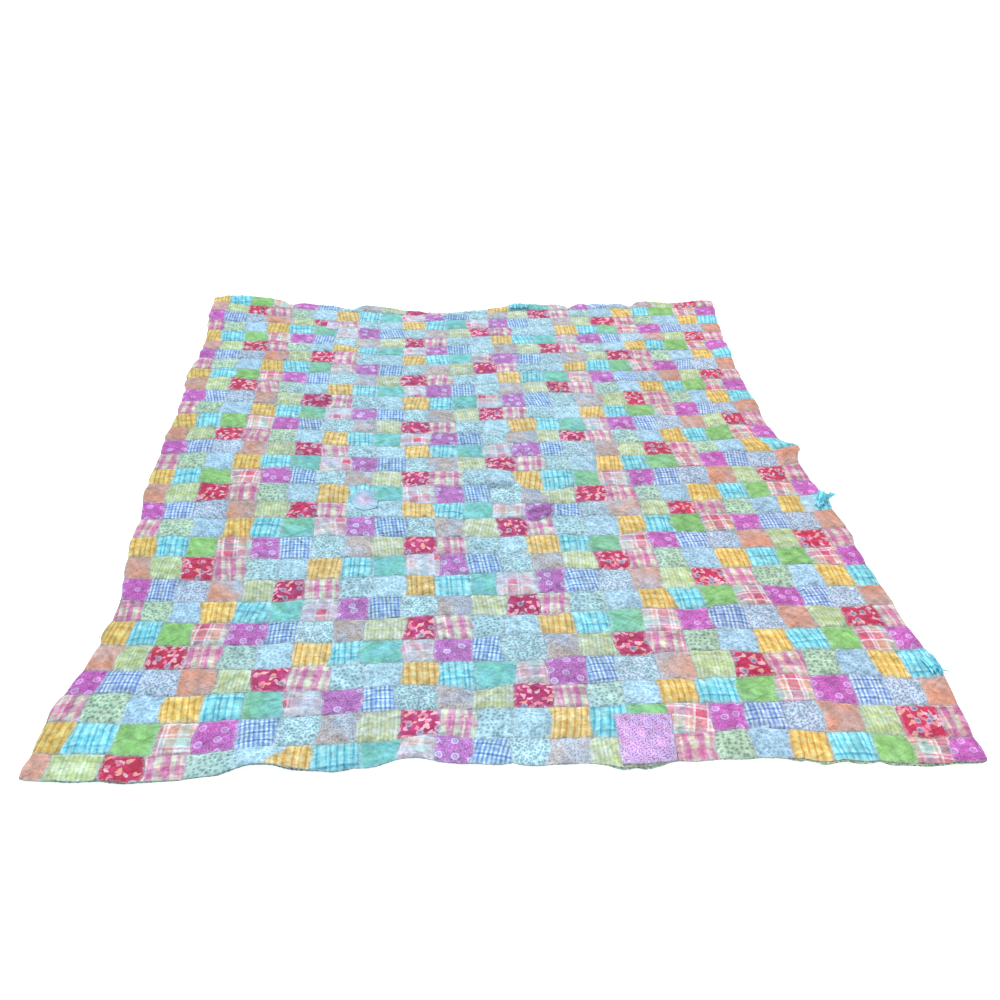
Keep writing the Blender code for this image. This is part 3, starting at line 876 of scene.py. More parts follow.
PLAIDS = {
    0: Plaid("yellow_plaid", dye(246, 233, 167),
             ((1, GOLD), (1, DEEP_GOLD), (1, CREAM), (1, GOLD), (1, DEEP_GOLD), (1, GOLD), (2, CREAM),
              (1, DEEP_GOLD), (1, GOLD), (1, CREAM), (1, DEEP_GOLD), (1, CREAM)),
             ((3, PALE_GOLD), (1, WHITE), (4, PALE_GOLD), (2, WHITE)),
             1.45, 1.3, 0.45, shift((228, 198, 121), (221, 202, 148))),
    1: Plaid("turquoise_plaid", dye(224, 254, 255),
             ((1, TEAL), (1, DEEP_TEAL), (1, PALE_TEAL), (1, DEEP_TEAL), (1, PALE_TEAL), (1, TEAL),
              (1, DEEP_TEAL), (2, PALE_TEAL), (1, DEEP_TEAL), (1, TEAL), (1, PALE_TEAL)),
             ((3, TEAL), (1, PALE_TEAL), (1, TEAL), (3, PALE_TEAL), (1, TEAL), (1, DEEP_TEAL),
              (1, PALE_TEAL)),
             1.45, 1.2, 0.45, shift((138, 218, 235), (140, 213, 231))),
    5: Plaid("blue_plaid", dye(242, 253, 255),
             ((1, DEEP_BLUE), (1, PALE_BLUE), (1, DEEP_BLUE), (1, PALE_BLUE), (1, DEEP_BLUE), (1, BLUE),
              (1, DEEP_BLUE), (1, PALE_BLUE)),
             ((2, BLUE), (1, PALE_BLUE), (1, DEEP_BLUE), (1, PALE_BLUE)),
             2.1, 3.2, 0.45, shift((164, 189, 231), (150, 189, 231))),
    8: Plaid("lime_stripe", dye(233, 244, 242),
             ((1, MOSS), (1, PALE_MOSS), (1, MOSS), (1, PEACH), (1, MOSS), (1, PALE_MOSS), (1, MOSS),
              (1, PALE_PEACH)),
             ((4, WHITE), (2, PALE_PEACH), (3, WHITE), (1, PALE_PEACH)),
             2.3, 1.0, 0.25, shift((196, 215, 172), (196, 214, 192))),
    10: Plaid("pink_plaid", dye(242, 254, 252),
              ((3, PINK), (1, BLUSH), (1, LEAF), (2, ROSE), (1, BLUSH), (3, PINK), (1, LEAF), (2, BLUSH),
               (1, ROSE)),
              ((4, ROSE), (2, BLUSH), (1, WHITE), (2, BLUSH)),
              1.2, 1.5, 0.45, shift((217, 170, 190), (210, 182, 202))),
}
fabrics = {number: plaid_cloth(plan) for number, plan in PLAIDS.items()}
print(len(PLAIDS), "plaids woven")

# %% [markdown]
# The madras is a wide check: blocks of coral, peach and grey-green with pairs of white lines between
# them. Its blocks are nearly half as large as a square, so each square shows a different corner of the
# check. Its coral dye has gone almost wholly from the faded middle.


# %% The madras
CORAL, SHELL, APRICOT, SAGE = (236, 164, 190), (245, 208, 226), (242, 209, 196), (211, 237, 232)
MADRAS_WARP = ((6, CORAL), (1, WHITE), (1, SHELL), (1, WHITE), (5, APRICOT), (1, SAGE), (1, WHITE),
               (4, SAGE), (1, SHELL), (1, WHITE), (2, APRICOT), (1, WHITE))
MADRAS_WEFT = ((5, CORAL), (1, WHITE), (1, CORAL), (1, WHITE), (4, SAGE), (1, APRICOT), (1, WHITE),
               (5, APRICOT), (1, WHITE))
WARP_COUNT, WARP_START = 0.80, 0.10      # repeats to a square, and where in the pattern it starts
WEFT_COUNT, WEFT_START = 0.85, 0.45
STRONG_WARP, STRONG_WEFT = 0.24, 0.23    # the first shares of the pattern, where the coral is strong
# Where the white lines are, as shares of the pattern, and how white the cloth is there.
WHITE_LINES = ((0.0, 0.0), (0.234, 0.0), (0.242, 1.0), (0.262, 1.0), (0.270, 0.0), (0.328, 0.0),
               (0.336, 1.0), (0.356, 1.0), (0.364, 0.0), (0.56, 0.0), (0.57, 1.0), (0.59, 1.0), (0.60, 0.0),
               (0.94, 0.0), (0.95, 1.0))


def madras_cloth():
    """A wide check with double white lines."""
    cloth, tree, printed, squared = new_cloth("madras_check")
    across, along = split(tree, printed)
    warp, weft = (across, WARP_COUNT, WARP_START), (along, WEFT_COUNT, WEFT_START)
    colour = blended(tree, 1.0, bands_of(tree, *warp, MADRAS_WARP), bands_of(tree, *weft, MADRAS_WEFT),
                     "MULTIPLY")
    white = [ramp(tree, repeats(tree, *way), WHITE_LINES) for way in (warp, weft)]
    white = sum_of(tree, "MAXIMUM", *white)
    colour = blended(tree, product(tree, white, 0.50), colour, dye(248, 240, 246))
    block = [ramp(tree, repeats(tree, *way), ((0.0, 1.0), (share - 0.01, 1.0), (share, 0.0)))
             for way, share in ((warp, STRONG_WARP), (weft, STRONG_WEFT))]
    strong = product(tree, *block)
    colour = blended(tree, product(tree, strong, 0.60), colour, dye(232, 92, 122))
    uneven = stretched(tree, noise(tree, printed, 1.3, 1.0), 0.40, 0.60, 0.36, 0.72)
    washed = product(tree, faded_share(tree), sum_of(tree, "MULTIPLY_ADD", strong, -0.40, uneven))
    colour = blended(tree, washed, colour, dye(190, 220, 246))
    return finish_cloth(cloth, printed, squared, colour, NO_SHIFT)


fabrics[3] = madras_cloth()
print("madras woven")

# %% [markdown]
# ## Plain and printed cottons
#
# A small print is a scatter of motifs. Scattered spots come from a cell texture: the distance to the
# nearest cell middle draws a dot, a ring or a flower, and each cell's own random colour picks the dye, or
# leaves a place bare.


# %% Plain green and dotted tan
def green_cloth():
    """Plain dyed cotton, a little cloudy from the wash."""
    cloth, tree, printed, squared = new_cloth("plain_green")
    cloud = noise(tree, printed, 2.0, 1.0)
    colour = ramp(tree, cloud, ((0.3, dye(141, 202, 112)), (0.7, dye(155, 212, 132))))
    return finish_cloth(cloth, printed, squared, colour, shift((148, 206, 134), (122, 206, 227)), 0.9)


def tan_cloth():
    """Tan cotton with tiny darker dots. It fades sooner than the others."""
    cloth, tree, printed, squared = new_cloth("dotted_tan")
    far, chance = spots(tree, printed, 13.0, 0.8)
    tint = either(tree, chance, dye(168, 98, 88), dye(196, 130, 110))
    cloud = noise(tree, printed, 1.1, 1.0)
    ground = ramp(tree, cloud, ((0.34, dye(228, 160, 134)), (0.66, dye(213, 174, 166))))
    faded = stretched(tree, faded_share(tree), 0.0, 0.5)
    shown = sum_of(tree, "MULTIPLY_ADD", faded, 0.50, 0.20)
    colour = blended(tree, product(tree, disc(tree, far, 0.20, 0.40), shown), ground, tint)
    colour = blended(tree, faded, colour, shift((216, 151, 134), (187, 181, 189)), "MULTIPLY")
    return finish_cloth(cloth, printed, squared, colour, NO_SHIFT)


fabrics[2] = green_cloth()
fabrics[7] = tan_cloth()
print("two plain cottons")


# %% Rings on magenta
def magenta_cloth():
    """Magenta cotton with pale rings, each with a pale middle, on a cloudy ground."""
    cloth, tree, printed, squared = new_cloth("magenta_rings")
    cloud = noise(tree, printed, 26.0, 3.0, (1.0, 0.6), 30)
    ground = ramp(tree, cloud, ((0.34, dye(188, 70, 178)), (0.50, dye(203, 93, 191)),
                                (0.66, dye(217, 124, 206))))
    far, chance = spots(tree, printed, 2.4, 0.65)
    ring = ramp(tree, far, ((0.0, 0.9), (0.04, 0.8), (0.07, 0.20), (0.14, 0.22), (0.18, 0.95), (0.23, 0.95),
                            (0.27, 0.0)))
    colour = blended(tree, product(tree, ring, some(tree, chance, 0.80)), ground, dye(232, 180, 248))
    return finish_cloth(cloth, printed, squared, colour, shift((206, 120, 202), (187, 147, 210)))


fabrics[4] = magenta_cloth()
print("magenta print")


# %% Small speckled and flowered prints
def speckled_cloth():
    """Nearly white cotton, closely covered in small teal and lilac sprigs that lie two ways."""
    cloth, tree, printed, squared = new_cloth("speckled_white")
    colour = dye(210, 226, 246)
    for stretch, turn, dyes in (((1.0, 1.35), 35, (dye(90, 140, 174), dye(120, 160, 200))),
                                ((1.35, 1.0), 25, (dye(160, 148, 206), dye(112, 170, 190)))):
        far, chance = spots(tree, printed, 8.6, 0.9, stretch, turn)
        sprig = product(tree, disc(tree, far, 0.22, 0.36), 0.75)
        colour = blended(tree, sprig, colour, either(tree, chance, *dyes))
    return finish_cloth(cloth, printed, squared, colour, shift((184, 200, 226), (172, 212, 228)))


def ringed_cloth():
    """Pale blue cotton with small darker ring flowers and fine dots."""
    cloth, tree, printed, squared = new_cloth("ringed_blue")
    fine, _ = spots(tree, printed, 20.0)
    specks = product(tree, disc(tree, fine, 0.20, 0.34), 0.60)
    colour = blended(tree, specks, dye(194, 230, 250), dye(128, 178, 226))
    far, _ = spots(tree, printed, 8.5, 0.8)
    ring = ramp(tree, far, ((0.08, 0.3), (0.16, 1.0), (0.27, 1.0), (0.36, 0.0)))
    colour = blended(tree, product(tree, ring, 0.65), colour, dye(112, 162, 210))
    return finish_cloth(cloth, printed, squared, colour, shift((172, 212, 240), (174, 220, 242)))


def flowered_cloth():
    """Pale green cotton with round flowers, each with a dark middle, and small leaves between them."""
    cloth, tree, printed, squared = new_cloth("flowered_green")
    leaf, _ = spots(tree, printed, 11.5, 1.0, (1.0, 1.8), 30)
    leaves = product(tree, disc(tree, leaf, 0.24, 0.38), 0.45)
    colour = blended(tree, leaves, dye(205, 230, 203), dye(132, 182, 136))
    flower, chance = spots(tree, printed, 7.2, 0.75)
    petals = ramp(tree, flower, ((0.13, 0.3), (0.20, 1.0), (0.28, 1.0), (0.37, 0.0)))
    colour = blended(tree, product(tree, petals, 0.75), colour, dye(120, 172, 156))
    middle = ramp(tree, flower, ((0.08, 0.75), (0.20, 0.0)))
    colour = blended(tree, middle, colour, either(tree, chance, dye(74, 122, 92), dye(96, 142, 126), 0.6))
    return finish_cloth(cloth, printed, squared, colour, shift((180, 209, 187), (169, 212, 234)))


fabrics[6] = speckled_cloth()
fabrics[12] = ringed_cloth()
fabrics[11] = flowered_cloth()
print("three small prints")


# %% Leaves on crimson
def crimson_cloth():
    """Crimson cotton with plain pink and peach leaf shapes, grey-blue buds and bare cloth between them."""
    cloth, tree, printed, squared = new_cloth("crimson_leaves")
    wobble = put(tree, "TexNoise", {"Vector": printed, "Scale": 5.0, "Detail": 1.0}, output=1,
                 noise_dimensions="2D")
    bent = put(tree, "VectorMath", {0: wobble, 1: (0.22, 0.22, 0.0), 2: printed}, operation="MULTIPLY_ADD")
    ground = ramp(tree, noise(tree, printed, 4.0), ((0.35, dye(203, 23, 73)), (0.65, dye(213, 44, 98))))
    colour = blended(tree, faded_share(tree), ground, shift((208, 116, 142), (186, 155, 189)), "MULTIPLY")
    for stretch, turn, size, dyes in (
            ((1.0, 1.8), 40, 2.7, (dye(250, 198, 214), dye(246, 170, 154))),
            ((1.7, 1.0), 25, 2.7, (dye(246, 188, 208), dye(240, 138, 170)))):
        far, chance = spots(tree, bent, size, 0.9, stretch, turn)
        leaf = product(tree, disc(tree, far, 0.24, 0.28), some(tree, chance, 0.66, part=1))
        colour = blended(tree, leaf, colour, either(tree, chance, *dyes))
    far, chance = spots(tree, printed, 2.6, 0.9)
    tint = ramp(tree, far, ((0.0, dye(126, 112, 150)), (0.08, dye(142, 130, 170)),
                            (0.12, dye(160, 148, 186)), (0.19, dye(196, 172, 198))))
    bud = product(tree, disc(tree, far, 0.23, 0.27), some(tree, chance, 0.42))
    colour = blended(tree, bud, colour, tint)
    return finish_cloth(cloth, printed, squared, colour, NO_SHIFT)


fabrics[9] = crimson_cloth()
print("fabrics:", sorted(fabrics))

# %% [markdown]
# ## Piecing the top
#
# The thirteen fabrics always follow each other in the same order along a row, and the next row starts the
# order at another place, which makes the steps of colour that slant over the quilt. Each square could be
# an object of its own, but then its seams could gape. So each row is made as one long strip, a grid whose
# points are moved to their places, and the strips are then joined in six bands. The joined rows meet edge
# to edge in the stitched troughs, so no gap shows.

# %% Which fabric each square is
FABRICS = 13
ROW_STARTS = (7, 0, 10, 4)    # the fabric that starts each row, and then again from the first
SQUARE_CELLS = 24             # mesh cells along a side of a square
CROWDING = 0.45               # how much closer the cells are near a seam
ROWS_IN_BAND = 5
PRINT_TURN = 5.0              # degrees, how far a square is cut off the thread line
BARED_ROW, BARED_COLUMN = 11, 23      # the square whose outer cloth is torn away
BARED_SHARE = 0.50                    # how much of it is bared
BARED_LEAN, BARED_RAGGED = 0.10, 0.06     # how far its torn line leans and wanders, in squares
BOLT = 7                              # squares each way: the stretch of print that squares are cut from

cut_turn = np.radians(draws.normal(0, PRINT_TURN, (ROWS, COLUMNS)))
cut_place = draws.random((ROWS, COLUMNS, 2)) * BOLT


def fabric_of(row, column):
    """The number of a square's fabric."""
    return (ROW_STARTS[row % len(ROW_STARTS)] + column) % FABRICS


def crowded(share):
    """A share of the way over a square, with the steps crowded towards its two seams."""
    return share - CROWDING * np.sin(2 * pi * share) / (2 * pi)


def strip_places(row):
    """Flat places for all points of a row's strip, and where each is in its square."""
    count = COLUMNS * SQUARE_CELLS
    place = np.arange(count + 1)
    column = np.minimum(place // SQUARE_CELLS, COLUMNS - 1)
    u = crowded(place / SQUARE_CELLS - column)
    v = crowded(np.linspace(0, 1, SQUARE_CELLS + 1))[:, None]
    rough_along = np.clip((row + v) * PATCH, NEAR, FAR)
    lines = [square_seam(row, line, v, rough_along) + 0 * v for line in range(COLUMNS + 1)]
    lines = np.stack(lines)[:, :, 0]
    across = lines[column].T * (1 - u) + lines[column + 1].T * u
    along = row_seam(row, across) * (1 - v) + row_seam(row + 1, across) * v
    across, along = rounded_corners(across, along)
    return across, along, column[None, :] + 0 * across.astype(int), u[None, :] + 0 * across, v + 0 * across


print("the first row:", [fabric_of(0, column) for column in range(COLUMNS)])


# %% Helpers that make meshes
def flat_grid(cells_across, cells_along):
    """A new grid, and for its points two arrays that run from 0 to 1."""
    bpy.ops.object.select_all(action="DESELECT")
    bpy.ops.mesh.primitive_grid_add(x_subdivisions=cells_across, y_subdivisions=cells_along, size=1)
    made = bpy.context.object
    s, t = np.meshgrid(np.linspace(0, 1, cells_across + 1), np.linspace(0, 1, cells_along + 1))
    return made, s, t


def place_points(made, x, y, z):
    """Put a grid's points in their places."""
    made.data.vertices.foreach_set("co", np.stack([x, y, z], -1).astype(np.float32).ravel())
    made.data.update()


def corner_points(mesh):
    """The point that each face corner uses."""
    points = np.zeros(len(mesh.loops), np.int32)
    mesh.loops.foreach_get("vertex_index", points)
    return points


def set_map(mesh, name, first, second):
    """Give a mesh a map from two numbers for each face corner."""
    layer = mesh.uv_layers.get(name) or mesh.uv_layers.new(name=name)
    layer.data.foreach_set("uv", np.stack([first, second], -1).astype(np.float32).ravel())


def map_points(mesh, name, first, second):
    """Give a mesh a map from two numbers for each point."""
    corners = corner_points(mesh)
    set_map(mesh, name, first.ravel()[corners], second.ravel()[corners])


def map_seamless(mesh):
    """Give a mesh the middle of a square all over, so that it shows no seams."""
    middle = np.full(len(mesh.loops), 0.5)
    set_map(mesh, "square", middle, middle)


def joined(parts):
    """Some objects, joined into the first of them."""
    bpy.ops.object.select_all(action="DESELECT")
    for part in parts:
        part.select_set(True)
    bpy.context.view_layer.objects.active = parts[0]
    bpy.ops.object.join()
    return parts[0]


def use_modifier(made, kind, **settings):
    """Add a modifier and apply it."""
    bpy.context.view_layer.objects.active = made
    modifier = made.modifiers.new(kind.title(), kind)
    for name, value in settings.items():
        setattr(modifier, name, value)
    bpy.ops.object.modifier_apply(modifier=modifier.name)


# %% One row of squares
def bared_cloth():
    """The thin pale cover of the wadding, which shows where the outer cloth is torn away."""
    cloth, tree, printed, squared = new_cloth("bared_wadding")
    _, from_row = from_seams(tree, squared)
    edge = ramp(tree, from_row, ((0.0, 1.0), (0.06, 0.8), (0.12, 0.0)))
    cloud = noise(tree, printed, 5.0, 3.0)
    inner = ramp(tree, cloud, ((0.35, dye(168, 212, 236)), (0.65, dye(196, 226, 242))))
    colour = blended(tree, edge, inner, dye(236, 232, 250))
    return finish_cloth(cloth, printed, squared, colour, NO_SHIFT, 0.3)


def strip(row):
    """One row of squares, pieced and puffed."""
    made, _, _ = flat_grid(COLUMNS * SQUARE_CELLS, SQUARE_CELLS)
    mesh = made.data
    across, along, column, u, v = strip_places(row)
    x, y = lay(across, along)
    place_points(made, x, y, ground(across, along) + square_height(row, column, u, v, across, along))

    corners = corner_points(mesh).reshape(-1, 4)
    width = COLUMNS * SQUARE_CELLS + 1
    face_column = (corners % width).min(axis=1) // SQUARE_CELLS
    corner_column = np.repeat(face_column, 4)
    corners = corners.ravel()
    square_u = crowded((corners % width) / SQUARE_CELLS - corner_column)
    square_v = crowded((corners // width) / SQUARE_CELLS)
    set_map(mesh, "square", corner_column + square_u, row + square_v)
    turn = cut_turn[row, corner_column]
    off_across = across.ravel()[corners] / PATCH + COLUMNS / 2 - corner_column - 0.5
    off_along = along.ravel()[corners] / PATCH - row - 0.5
    print_u = off_across * np.cos(turn) - off_along * np.sin(turn) + cut_place[row, corner_column, 0]
    print_v = off_across * np.sin(turn) + off_along * np.cos(turn) + cut_place[row, corner_column, 1]
    set_map(mesh, "print", print_u, print_v)

    for number in range(FABRICS):
        mesh.materials.append(fabrics[number])
    chosen = fabric_of(row, face_column).astype(np.int32)
    if row == BARED_ROW:
        face_u = square_u.reshape(-1, 4).mean(axis=1)
        face_v = square_v.reshape(-1, 4).mean(axis=1)
        ragged = BARED_RAGGED * unevenness(9 * face_v, 0 * face_v, 25)
        limit = BARED_SHARE + BARED_LEAN * (face_v - 0.5) + ragged
        chosen[(face_column == BARED_COLUMN) & (face_u < limit)] = FABRICS
        mesh.materials.append(bared_cloth())
    mesh.polygons.foreach_set("material_index", chosen)
    bpy.ops.object.shade_smooth()
    return made


# %% Sew the strips into bands
bands = []
for first in range(0, ROWS, ROWS_IN_BAND):
    band = joined([strip(row) for row in range(first, first + ROWS_IN_BAND)])
    band.name = f"rows_{first + 1:02d}_to_{first + ROWS_IN_BAND:02d}"
    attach(band, "root")
    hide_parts("quilt_top")
    bands.append(band)
    print(band.name, len(band.data.polygons), "faces")

# %% [markdown]
# ## The backing
#
# One sheet of small-flowered cotton lies under the whole quilt. Along the near edge it has crept out past
# the top in a few places, as a thin line. It could be a copy of the top, but so little of it shows that a
# coarser grid between the same four edges will do, given its thickness by a Solidify modifier. Its cells
# are too large for the narrow creases, so it only gives way under the troughs.

# %% Make the backing
BACKING_CELLS = (140, 150)
BACKING_THICK = 0.0010
BACKING_INSET = 0.0005                                    # how far it stops short of the side and far edges
Peep = namedtuple("Peep", "start end reach")              # where the backing creeps out, and how far
PEEPS = (
    Peep(-0.84, -0.50, 0.0022),
    Peep(-0.50, -0.36, 0.0030),
    Peep(0.14, 0.32, 0.0040),
    Peep(0.48, 0.88, 0.0060),
)
PEEP_END = 0.03                                           # over what length each of them begins and ends
PEEP_CELL = 0.022
NEAR_INSET = 0.0006                                       # how far it stops short between them
TROUGH_SPREAD = 2.2                                       # how much wider the troughs are in the backing
TROUGHS = [fold._replace(half_width=TROUGH_SPREAD * fold.half_width) for fold in CREASES if fold.height < 0]


def peep(across):
    """How far the backing reaches past the near edge."""
    out = 0 * across - NEAR_INSET
    uneven = 0.75 + 0.55 * unevenness(across / PEEP_CELL, 0 * across, 41)
    for part in PEEPS:
        begun = np.clip((across - part.start) / PEEP_END, 0, 1)
        left_over = np.clip((part.end - across) / PEEP_END, 0, 1)
        out = out + part.reach * begun * left_over * uneven
    return out


def backing_cloth():
    """Pale green cotton with a close print of small grey-blue flowers."""
    cloth, tree, printed, squared = new_cloth("backing_print")
    far, chance = spots(tree, printed, 9.0, 0.9)
    flower = product(tree, disc(tree, far, 0.24, 0.36), 0.9)
    tint = either(tree, chance, dye(118, 140, 164), dye(130, 164, 124))
    colour = blended(tree, flower, dye(198, 220, 188), tint)
    return finish_cloth(cloth, printed, squared, colour, shift((190, 214, 180), (186, 210, 205)))


backing, s, t = flat_grid(*BACKING_CELLS)
backing.name = "backing_sheet"
along = NEAR + t * (FAR - NEAR)
left, right = side_edge(0, along) + BACKING_INSET, side_edge(COLUMNS, along) - BACKING_INSET
across = left + s * (right - left)
near, far = row_seam(0, across) - peep(across), row_seam(ROWS, across) - BACKING_INSET
along = near + t * (far - near)
across, along = rounded_corners(across, along)
x, y = lay(across, along)
place_points(backing, x, y, ground(across, along, TROUGHS) + BACKING_THICK)
map_points(backing.data, "print", across / PATCH, along / PATCH)
map_seamless(backing.data)
backing.data.materials.append(backing_cloth())
bpy.ops.object.shade_smooth()
use_modifier(backing, "SOLIDIFY", thickness=BACKING_THICK, offset=-1.0)
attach(backing, "root")
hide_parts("backing")
print("backing:", len(backing.data.polygons), "faces")

# %% [markdown]
# ## The mends
#
# Three patches of other cloth have been sewn over worn places by hand. A simulation could drop a mend on
# the quilt, but it would slip out of its place. So its height at each point is the highest of the quilt's
# surface near there, smoothed, plus a little, and it bridges the troughs below it. Its edge is turned
# under and held by stitches, so it dips at the rim and the small hand stitches pucker it.

# %% Feel the height of the quilt
band_trees = [BVHTree.FromObject(band, bpy.context.evaluated_depsgraph_get()) for band in bands]
FEEL_FROM = 0.2               # metres above the floor
print(len(band_trees), "bands to feel")


def quilt_height(x, y):
    """The height of the quilt's surface at each place."""
    heights = np.zeros(x.size)
    for number, (at_x, at_y) in enumerate(zip(x.ravel(), y.ravel())):
        for tree in band_trees:
            hit = tree.ray_cast(Vector((at_x, at_y, FEEL_FROM)), Vector((0, 0, -1)))[0]
            if hit is not None:
                heights[number] = max(heights[number], hit.z)
    return heights.reshape(x.shape)


def bridged(heights, reach):
    """Each height raised to the highest near it, and then smoothed."""
    padded = np.pad(heights, reach, mode="edge")
    size = 2 * reach + 1
    windows = np.lib.stride_tricks.sliding_window_view(padded, (size, size))
    highest = windows.max(axis=(2, 3))
    padded = np.pad(highest, reach, mode="edge")
    return np.lib.stride_tricks.sliding_window_view(padded, (size, size)).mean(axis=(2, 3))


# %% Cloth for the mends
STAR = 0.0245                 # metres from star to star
STAR_ROW = 3 ** 0.5 / 2       # how far apart their rows are, in those steps
RAYS = 9


def star_cloth():
    """Lilac cotton with a lattice of stars, each of short magenta dashes with fine white rays between."""
    cloth, tree, printed, squared = new_cloth("star_lattice")
    across, along = split(tree, printed)
    row_place = product(tree, along, PATCH / STAR / STAR_ROW)
    place = sum_of(tree, "MULTIPLY_ADD", across, PATCH / STAR, product(tree, row_place, -0.5))
    off_row = sum_of(tree, "SUBTRACT", row_place, sum_of(tree, "ROUND", row_place))
    off_place = sum_of(tree, "SUBTRACT", place, sum_of(tree, "ROUND", place))
    off_x = sum_of(tree, "MULTIPLY_ADD", off_row, 0.5, off_place)
    off_y = product(tree, off_row, STAR_ROW)
    angle = sum_of(tree, "ARCTAN2", off_y, off_x)
    wave = sum_of(tree, "COSINE", product(tree, angle, float(RAYS)))
    radius = sum_of(tree, "SQRT", sum_of(tree, "MULTIPLY_ADD", off_x, off_x, product(tree, off_y, off_y)))
    rings = ramp(tree, radius, ((0.09, 0.0), (0.12, 1.0), (0.31, 1.0), (0.34, 0.0), (0.37, 0.0),
                                (0.40, 1.0), (0.52, 1.0), (0.55, 0.0)))
    dashes = product(tree, ramp(tree, wave, ((0.20, 0.0), (0.60, 1.0))), rings)
    rays = ramp(tree, product(tree, wave, -1.0), ((0.20, 0.0), (0.60, 1.0)))
    rays = product(tree, rays, disc(tree, radius, 0.30, 0.36))
    cloud = noise(tree, printed, 2.6)
    ground = ramp(tree, cloud, ((0.38, dye(210, 178, 236)), (0.65, dye(222, 176, 234))))
    ink = ramp(tree, cloud, ((0.42, dye(122, 78, 172)), (0.62, dye(158, 72, 170))))
    colour = blended(tree, product(tree, rays, 0.45), ground, dye(248, 232, 250))
    colour = blended(tree, product(tree, dashes, 0.85), colour, ink)
    return finish_cloth(cloth, printed, squared, colour, NO_SHIFT, 0.2)


def lilac_cloth():
    """Pale lilac cotton, worn nearly white."""
    cloth, tree, printed, squared = new_cloth("pale_lilac")
    cloud = noise(tree, printed, 6.0, 3.0)
    colour = ramp(tree, cloud, ((0.35, dye(196, 192, 230)), (0.65, dye(220, 206, 236))))
    return finish_cloth(cloth, printed, squared, colour, NO_SHIFT)


def worn_cloth():
    """Lilac cotton worn to pale blue towards its rim, so that the mend melts into the squares about it."""
    cloth, tree, printed, squared = new_cloth("worn_lilac")
    from_middle = put(tree, "VectorMath", {0: squared, 1: (0.5, 0.5, 0.0)}, output=1, operation="DISTANCE")
    ragged = sum_of(tree, "MULTIPLY_ADD", noise(tree, printed, 7.0, 4.0), 0.45, from_middle)
    ground = ramp(tree, ragged, ((0.36, dye(216, 202, 236)), (0.50, dye(194, 204, 236)),
                                 (0.62, dye(160, 212, 234))))
    far, _ = spots(tree, printed, 16.0)
    flecks = product(tree, disc(tree, far, 0.22, 0.36), 0.5)
    colour = blended(tree, flecks, ground, dye(150, 176, 206))
    return finish_cloth(cloth, printed, squared, colour, NO_SHIFT, 0.35)


star, lilac, worn = star_cloth(), lilac_cloth(), worn_cloth()
print("cloth for the mends:", star.name, lilac.name, worn.name)

# %% Sew the mends on
# A mend: its name, node and slot, its middle, its width and length, its turn in degrees, how much it tapers
# and leans, whether it is round, and its cloth.
Mend = namedtuple("Mend", "name node slot across along width length turn taper lean round cloth")
MENDS = (
    Mend("star_mend", "square_mend", "star_mend_cloth",
         0.244, 0.0685, 0.104, 0.108, -2.5, 0.06, 0.006, False, star),
    Mend("lilac_small_mend", "small_mend", "lilac_mend_cloth",
         -0.459, 1.985, 0.040, 0.070, -4.0, 0.0, 0.0, False, lilac),
    Mend("lilac_round_mend", "round_mend", "lilac_mend_cloth",
         -0.317, 0.885, 0.068, 0.082, 10.0, 0.0, 0.0, True, worn),
)
MEND_CELLS = 48
MEND_LIFT = 0.0006
MEND_THICK = 0.0005
MEND_BRIDGE = 3               # cells, how far about a mend bridges the troughs
SQUARE_OUTLINE, ROUND_OUTLINE = 0.02, 0.07    # how uneven a square and a round mend's outline is
HEM = 0.06                    # of a mend, the rim that dips
HEM_DIP = 0.0008
MEND_GATHER = 0.0007
PUCKER_CELL, WAVE_CELL = 0.006, 0.02
PUCKER_REACH = 0.2            # of a mend
RIM_MARGIN = 0.001            # keeps a mend's rim within its one square


def turned(x, y, degrees):
    """Places turned about the origin."""
    angle = radians(degrees)
    return x * cos(angle) - y * sin(angle), x * sin(angle) + y * cos(angle)


def mend(plan):
    """A mend, cut square or round, draped and sewn on."""
    made, s, t = flat_grid(MEND_CELLS, MEND_CELLS)
    made.name = plan.name
    off_across, off_along = 2 * s - 1, 2 * t - 1
    rim = 1 - np.maximum(np.abs(off_across), np.abs(off_along))
    if plan.round:
        off_across, off_along = (off_across * np.sqrt(1 - off_along ** 2 / 2),
                                 off_along * np.sqrt(1 - off_across ** 2 / 2))
    uneven = unevenness(3 * off_across + 5, 3 * off_along + 5, 51)
    uneven = 1 + (ROUND_OUTLINE if plan.round else SQUARE_OUTLINE) * uneven
    flat_x = off_across * plan.width / 2 * uneven * (1 + plan.taper * off_along) - plan.lean * off_along
    flat_y = off_along * plan.length / 2 * uneven
    across, along = turned(flat_x, flat_y, plan.turn)
    x, y = lay(plan.across + across, plan.along + along)
    z = bridged(quilt_height(x, y), MEND_BRIDGE) + MEND_LIFT + MEND_THICK
    in_hem = np.clip(rim / HEM, 0, 1)
    z -= HEM_DIP * (1 - in_hem) ** 2
    ripple = unevenness(across / PUCKER_CELL + 9, along / PUCKER_CELL + 9, 52)
    z += MEND_GATHER * np.abs(ripple) * np.exp(-rim / PUCKER_REACH) * in_hem
    z += 0.5 * MEND_GATHER * unevenness(across / WAVE_CELL, along / WAVE_CELL, 53)
    place_points(made, x, y, z)
    map_points(made.data, "print", flat_x / PATCH, flat_y / PATCH)
    map_points(made.data, "square", *[RIM_MARGIN + (1 - 2 * RIM_MARGIN) * way for way in (s, t)])
    made.data.materials.append(plan.cloth)
    bpy.ops.object.shade_smooth()
    use_modifier(made, "SOLIDIFY", thickness=MEND_THICK, offset=-1.0)
    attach(made, "root")
    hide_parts(plan.node)
    print(plan.name, [round(float(side), 4) for side in (z.min(), z.max())])
    return made


